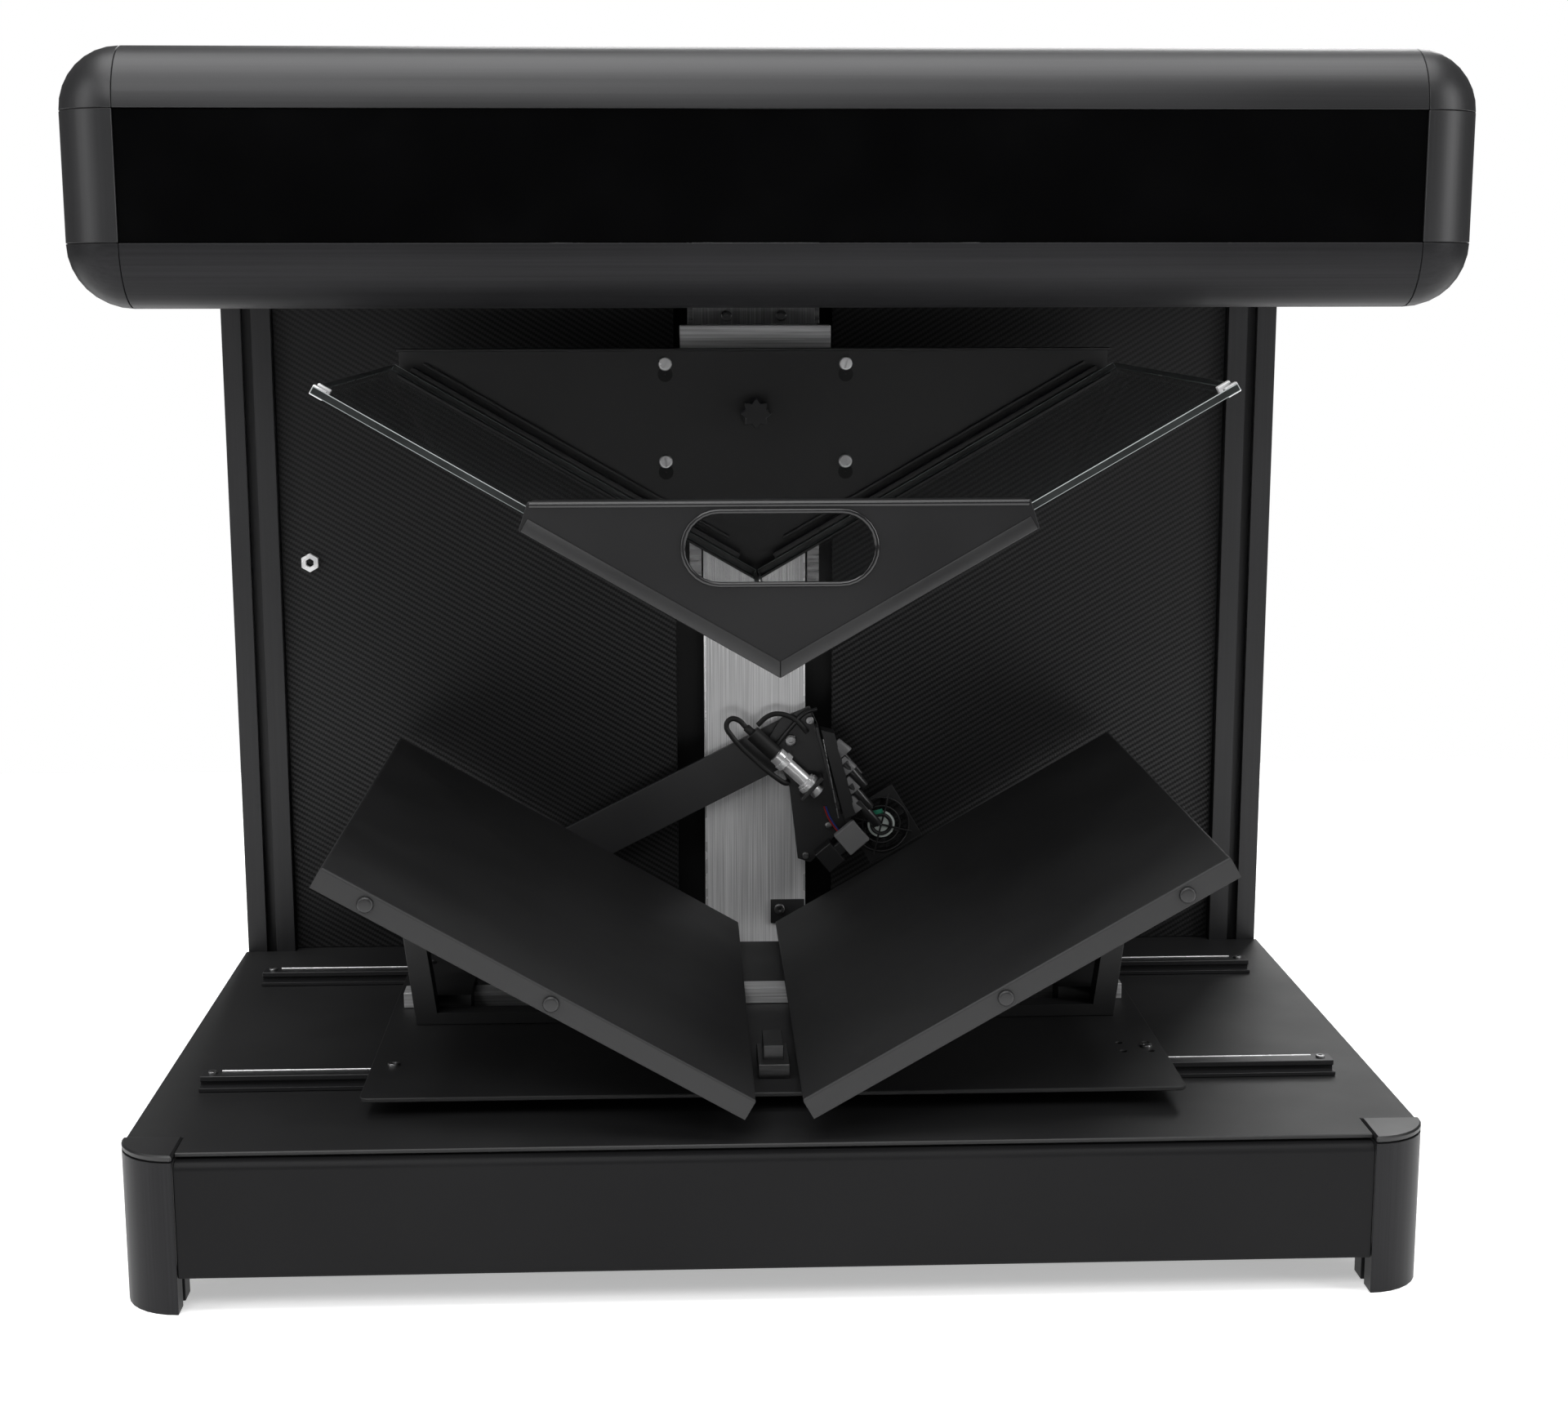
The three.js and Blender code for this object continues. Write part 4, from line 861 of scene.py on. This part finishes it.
# %% [markdown]
# ## Wall fittings
# A bright hexagon bushing sits in the left wall panel, and a strap with one bolt on the column's foot.
# Thin bright strips along the column's two edges are painted highlights, and a thin bright line runs
# along the top of each slide rail. The rails' ends have small socket screws. The rear cover and the
# side walls are held with dome-headed ones, which also give the back of the machine its scale.

# %% Wall fittings
wall_face = corners("back_panel_left")[0].y
column_low, column_high = corners("axis_column")
slab("column_strap", (27.5 * MM, column_low.y - 1.6 * MM, 140.5 * MM), (29, 2.4, 21), sheet_coat,
     "axis_column")
screw("column_strap_bolt", Vector((20.5 * MM, column_low.y - 2.8 * MM, 143.2 * MM)), FRONT, 4.5 * MM,
      3.5 * MM, "socket", worn_steel, "axis_column")
column_middle = (column_low.z + column_high.z) / 2
column_length = (column_high.z - column_low.z) / MM - 4
# Painted highlight: a bright steel strip along each front edge of the column.
for side, word in ((-1, "left"), (1, "right")):
    place = (side * (column_high.x - 0.9 * MM), column_low.y - 0.15 * MM, column_middle)
    slab(f"column_highlight_{word}", place, (1.5, 0.4, column_length), bright_steel, "axis_column", edge=0.1)
bushing = Vector((-372 * MM, wall_face, 444 * MM))
ring("wall_bushing", bushing, FRONT, 8 * MM, 3.6 * MM, 5 * MM, bright_steel, "back_panel_left", 6)
for node in ("front_slide_rail", "rear_slide_rail"):
    low, high = corners(node)
    middle = (low.y + high.y) / 2
    for side, word in ((low.x, "left"), (high.x, "right")):
        inward = 1 if side < 0 else -1
        place = Vector((side + inward * 8 * MM, middle, high.z))
        screw(f"{node}_screw_{word}", place, UP, 3.2 * MM, 1.6 * MM, "socket", worn_steel, node)
    # A thin round strip of bright steel along the top of each rail gives it a bright line.
    rail_line_y = middle + 4.2 * MM
    rail_line_z = high.z + 0.1 * MM
    rail_line_ends = [(low.x + 14 * MM, rail_line_y, rail_line_z), (high.x - 14 * MM, rail_line_y, rail_line_z)]
    tube(f"{node}_wire", rail_line_ends, 0.6 * MM, bright_steel, node, smooth=False)
cover_low, cover_high = corners("rear_cover")
for column in range(5):
    for row in range(4):
        if column in (0, 4) or row in (0, 3):
            x = cover_low.x + 14 * MM + column * (cover_high.x - cover_low.x - 28 * MM) / 4
            z = cover_low.z + 12 * MM + row * (cover_high.z - cover_low.z - 24 * MM) / 3
            screw(f"cover_screw_{column}_{row}", Vector((x, cover_high.y, z)), BACK, 3.5 * MM, 1.6 * MM,
                  "dome", black_plastic, "rear_cover")
skirt_low, skirt_high = corners("base_skirt")
for side, word in ((skirt_low.x, "left"), (skirt_high.x, "right")):
    outwards = Vector((1 if side > 0 else -1, 0, 0))
    for index in range(4):
        y = skirt_low.y + 20 * MM + index * (skirt_high.y - skirt_low.y - 72 * MM) / 3
        screw(f"skirt_screw_{word}_{index + 1}", Vector((side, y, skirt_high.z - 12 * MM)), outwards,
              3.5 * MM, 1.6 * MM, "dome", black_plastic, "base_skirt")
print("column edges", round(column_length), "mm long")

# %% [markdown]
# ## Details of the page-turning head
# The head is the busiest corner: a guard in front of the fan, its green and white hub, the two nuts that
# clamp the sensor in its tab and a bright edge where the flange is cut. The guard is three wire rings
# with four spokes.

# %% Details of the page-turning head
head_low, head_high = corners("head_plate")
fan_low, fan_high = corners("fan_frame")
fan_middle = Vector(((fan_low.x + fan_high.x) / 2, fan_low.y, (fan_low.z + fan_high.z) / 2))


def circle_line(middle, radius, steps=28):
    """Points of an upright circle."""
    return [(middle.x + radius * math.cos(2 * math.pi * i / steps), middle.y,
             middle.z + radius * math.sin(2 * math.pi * i / steps)) for i in range(steps)]


FAN_TURN = 31      # degrees that the square frame is turned in the head
guard = fan_middle + FRONT * 0.9 * MM
for index, (radius, wire) in enumerate(((23.5, 0.7), (16, 0.7), (8.4, 1.0))):
    tube(f"fan_guard_ring_{index + 1}", circle_line(guard, radius * MM), wire * MM, black_plastic,
         "fan_frame", closed=True, smooth=False)
for index in range(4):
    angle = math.radians(FAN_TURN + 45 + 90 * index)
    direction = Vector((math.cos(angle), 0, math.sin(angle)))
    tube(f"fan_guard_spoke_{index + 1}", [guard + direction * 0.5 * MM, guard + direction * 27 * MM],
         0.8 * MM, black_plastic, "fan_frame", smooth=False)
hub = Vector((fan_middle.x, corners("fan_rotor")[0].y, fan_middle.z))
screw("fan_hub_face", hub, FRONT, 11.8 * MM, 0.4 * MM, "dome", black_plastic, "fan_rotor")
ring("fan_hub_ring", hub + FRONT * 0.3 * MM, FRONT, 11.6 * MM, 9.8 * MM, 0.25 * MM, fan_label, "fan_rotor")
screw("fan_hub_label", hub + FRONT * 0.3 * MM, FRONT, 6.6 * MM, 0.25 * MM, "dome", fan_label, "fan_rotor")
slab("fan_hub_patch", hub + Vector((-2.4, -0.45, 10.2)) * MM, (8, 0.3, 4.6), fan_green, "fan_rotor", -0.25,
     edge=0.1)
for index, (start, width, thick) in enumerate(((41.5, 8.6, 5.5), (70.5, 9.6, 4.2))):
    nut = lead_path[0] + sensor_axis * start * MM
    ring(f"sensor_nut_{index + 1}", nut, sensor_axis, width * MM, 5.8 * MM, thick * MM, bright_steel,
         "page_sensor", 6)
flange_top = head_pivot + Vector((26.4, 0, 4)) * MM
flange_foot = head_pivot + Vector((39.6, 0, -64)) * MM
flange_top.y = flange_foot.y = head_low.y + 0.3 * MM
tube("flange_edge", [flange_top, flange_foot], 0.5 * MM, worn_steel, "head_plate", smooth=False)
print("fan guard, hub, sensor nuts and flange edge")

# %% [markdown]
# ## Suction cups and tubes
# Four soft cups lie side by side along the manifold, each a cone that flares towards the page, and
# three black tubes lead the air away past the fan. One function makes cones and tubes, with rounded
# rims and aimed the same way. The cups are pressed flat from front to back, so that they clear the
# cradle behind which they pass.

# %% Suction cups and tubes
CUP_DIP = math.radians(50)
AIM = Vector((math.cos(CUP_DIP), 0, -math.sin(CUP_DIP)))
cup_y = head_low.y + 3.4 * MM
FLATTEN = 0.58


def aimed_cone(name, spot, narrow, wide, length, material, flatten=1.0):
    """A cone or tube of the manifold, opening towards the page."""
    mesh = bmesh.new()
    bmesh.ops.create_cone(mesh, cap_ends=True, segments=24, radius1=narrow * MM, radius2=wide * MM,
                          depth=length * MM)
    break_edges(mesh, 0.5 * MM, 2, above=40)
    place = head_pivot + Vector((spot[0] * MM, 0, spot[1] * MM))
    bmesh.ops.transform(mesh, matrix=place_on(place, AIM), verts=mesh.verts)
    bmesh.ops.scale(mesh, verts=mesh.verts, vec=(1, flatten, 1))
    bmesh.ops.translate(mesh, verts=mesh.verts, vec=(0, cup_y, 0))
    finish_piece(name, mesh, material, "suction_head")


for index, spot in enumerate(((41, -4), (45.5, -19), (50, -35.5), (53.5, -52))):
    aimed_cone(f"suction_cup_{index + 1}", spot, 4.6, 7.2, 13.4, cup_grey, FLATTEN)
    aimed_cone(f"suction_cup_neck_{index + 1}", (spot[0] - 5.5, spot[1] + 4.5), 2.7, 2.7, 7, cup_grey)
for index, spot in enumerate(((53, -27), (58, -45.5), (64.5, -60))):
    aimed_cone(f"suction_tube_{index + 1}", spot, 4.2, 4.2, 27, hose_black, 0.95)
print("4 cups and 3 tubes")

# %% [markdown]
# ## Bolts, rods, pipe and wires
# The joints of the head are small socket screws. A thin rod and the air pipe cross above the plate, and
# the fan's two wires come out from under its corner.

# %% Bolts, rods, pipe and wires
print("head from", [round(v * 1000) for v in head_low], "to", [round(v * 1000) for v in head_high])
for name, x, z, radius in (("head_pivot_bolt", 29.9, 293.1, 5), ("link_bolt_upper", 46, 310, 3.5),
                           ("link_bolt_middle", 62, 219, 3), ("link_bolt_lower", 42.7, 193, 3)):
    place = Vector((x * MM, head_high.y - 2.5 * MM, z * MM))
    screw(name, place, FRONT, radius * MM, 3 * MM, "socket", worn_steel, "head_plate")
front_of_plate = head_high.y - 6 * MM
tube("link_rod_upper", [(18.9 * MM, front_of_plate, 290.5 * MM), (30 * MM, front_of_plate, 304 * MM),
                        (42.4 * MM, front_of_plate, 317 * MM), (52 * MM, front_of_plate, 320 * MM)],
     1.6 * MM, black_plastic, "head_plate")
tube("air_pipe", [(1.7 * MM, front_of_plate, 306.7 * MM), (10.6 * MM, front_of_plate, 314.3 * MM),
                  (18.9 * MM, front_of_plate, 316.4 * MM), (32 * MM, front_of_plate, 312.1 * MM),
                  (44 * MM, front_of_plate, 300 * MM)], 2.2 * MM, rubber, "head_plate")
for name, material, offset in (("fan_wire_red", wire_red, 0.0), ("fan_wire_blue", wire_blue, 1.6)):
    bulge = front_of_plate - 1 * MM
    tube(name, [((58 + offset) * MM, front_of_plate, 236 * MM), ((62 + offset) * MM, bulge, 226 * MM),
                ((70 + offset) * MM, bulge, 214 * MM), ((82 + offset) * MM, fan_low.y, 199 * MM)],
         0.7 * MM, material, "head_plate")

# %% [markdown]
# ## Camera lenses and the mains inlet
# Hidden under the hood, but seen from below: a lens of stepped rings in front of each camera. On the
# back the inlet has three flat pins.

# %% Camera lenses and the mains inlet
CAMERA_SIDE = 150 * MM
CAMERA_HEIGHT = 745 * MM
LENS_REACH = 54      # millimetres from the camera's middle to the front of its lens
for side, word in ((-1, "left"), (1, "right")):
    view = Vector((-side * math.sin(slope), 0, -math.cos(slope)))
    low, high = corners("camera_" + word)
    middle = Vector((side * CAMERA_SIDE, (low.y + high.y) / 2, CAMERA_HEIGHT))
    lens = middle + view * LENS_REACH * MM
    screw(f"lens_front_{word}", lens, view, 21 * MM, 1.5 * MM, "dome", lens_glass, "camera_" + word)
    ring(f"lens_ring_{word}", lens, view, 26.5 * MM, 22 * MM, 2.5 * MM, black_plastic, "camera_" + word)
inlet_low, inlet_high = corners("power_inlet")
for index, (x, z) in enumerate(((-6, -2), (6, -2), (0, 3))):
    centre = Vector(((inlet_low.x + inlet_high.x) / 2 + x * MM, inlet_low.y + 2.4 * MM,
                     (inlet_low.z + inlet_high.z) / 2 + z * MM))
    slab(f"inlet_pin_{index + 1}", centre, (1.6, 2.2, 4.5), bright_steel, "power_inlet")
print("2 lenses and 3 inlet pins")
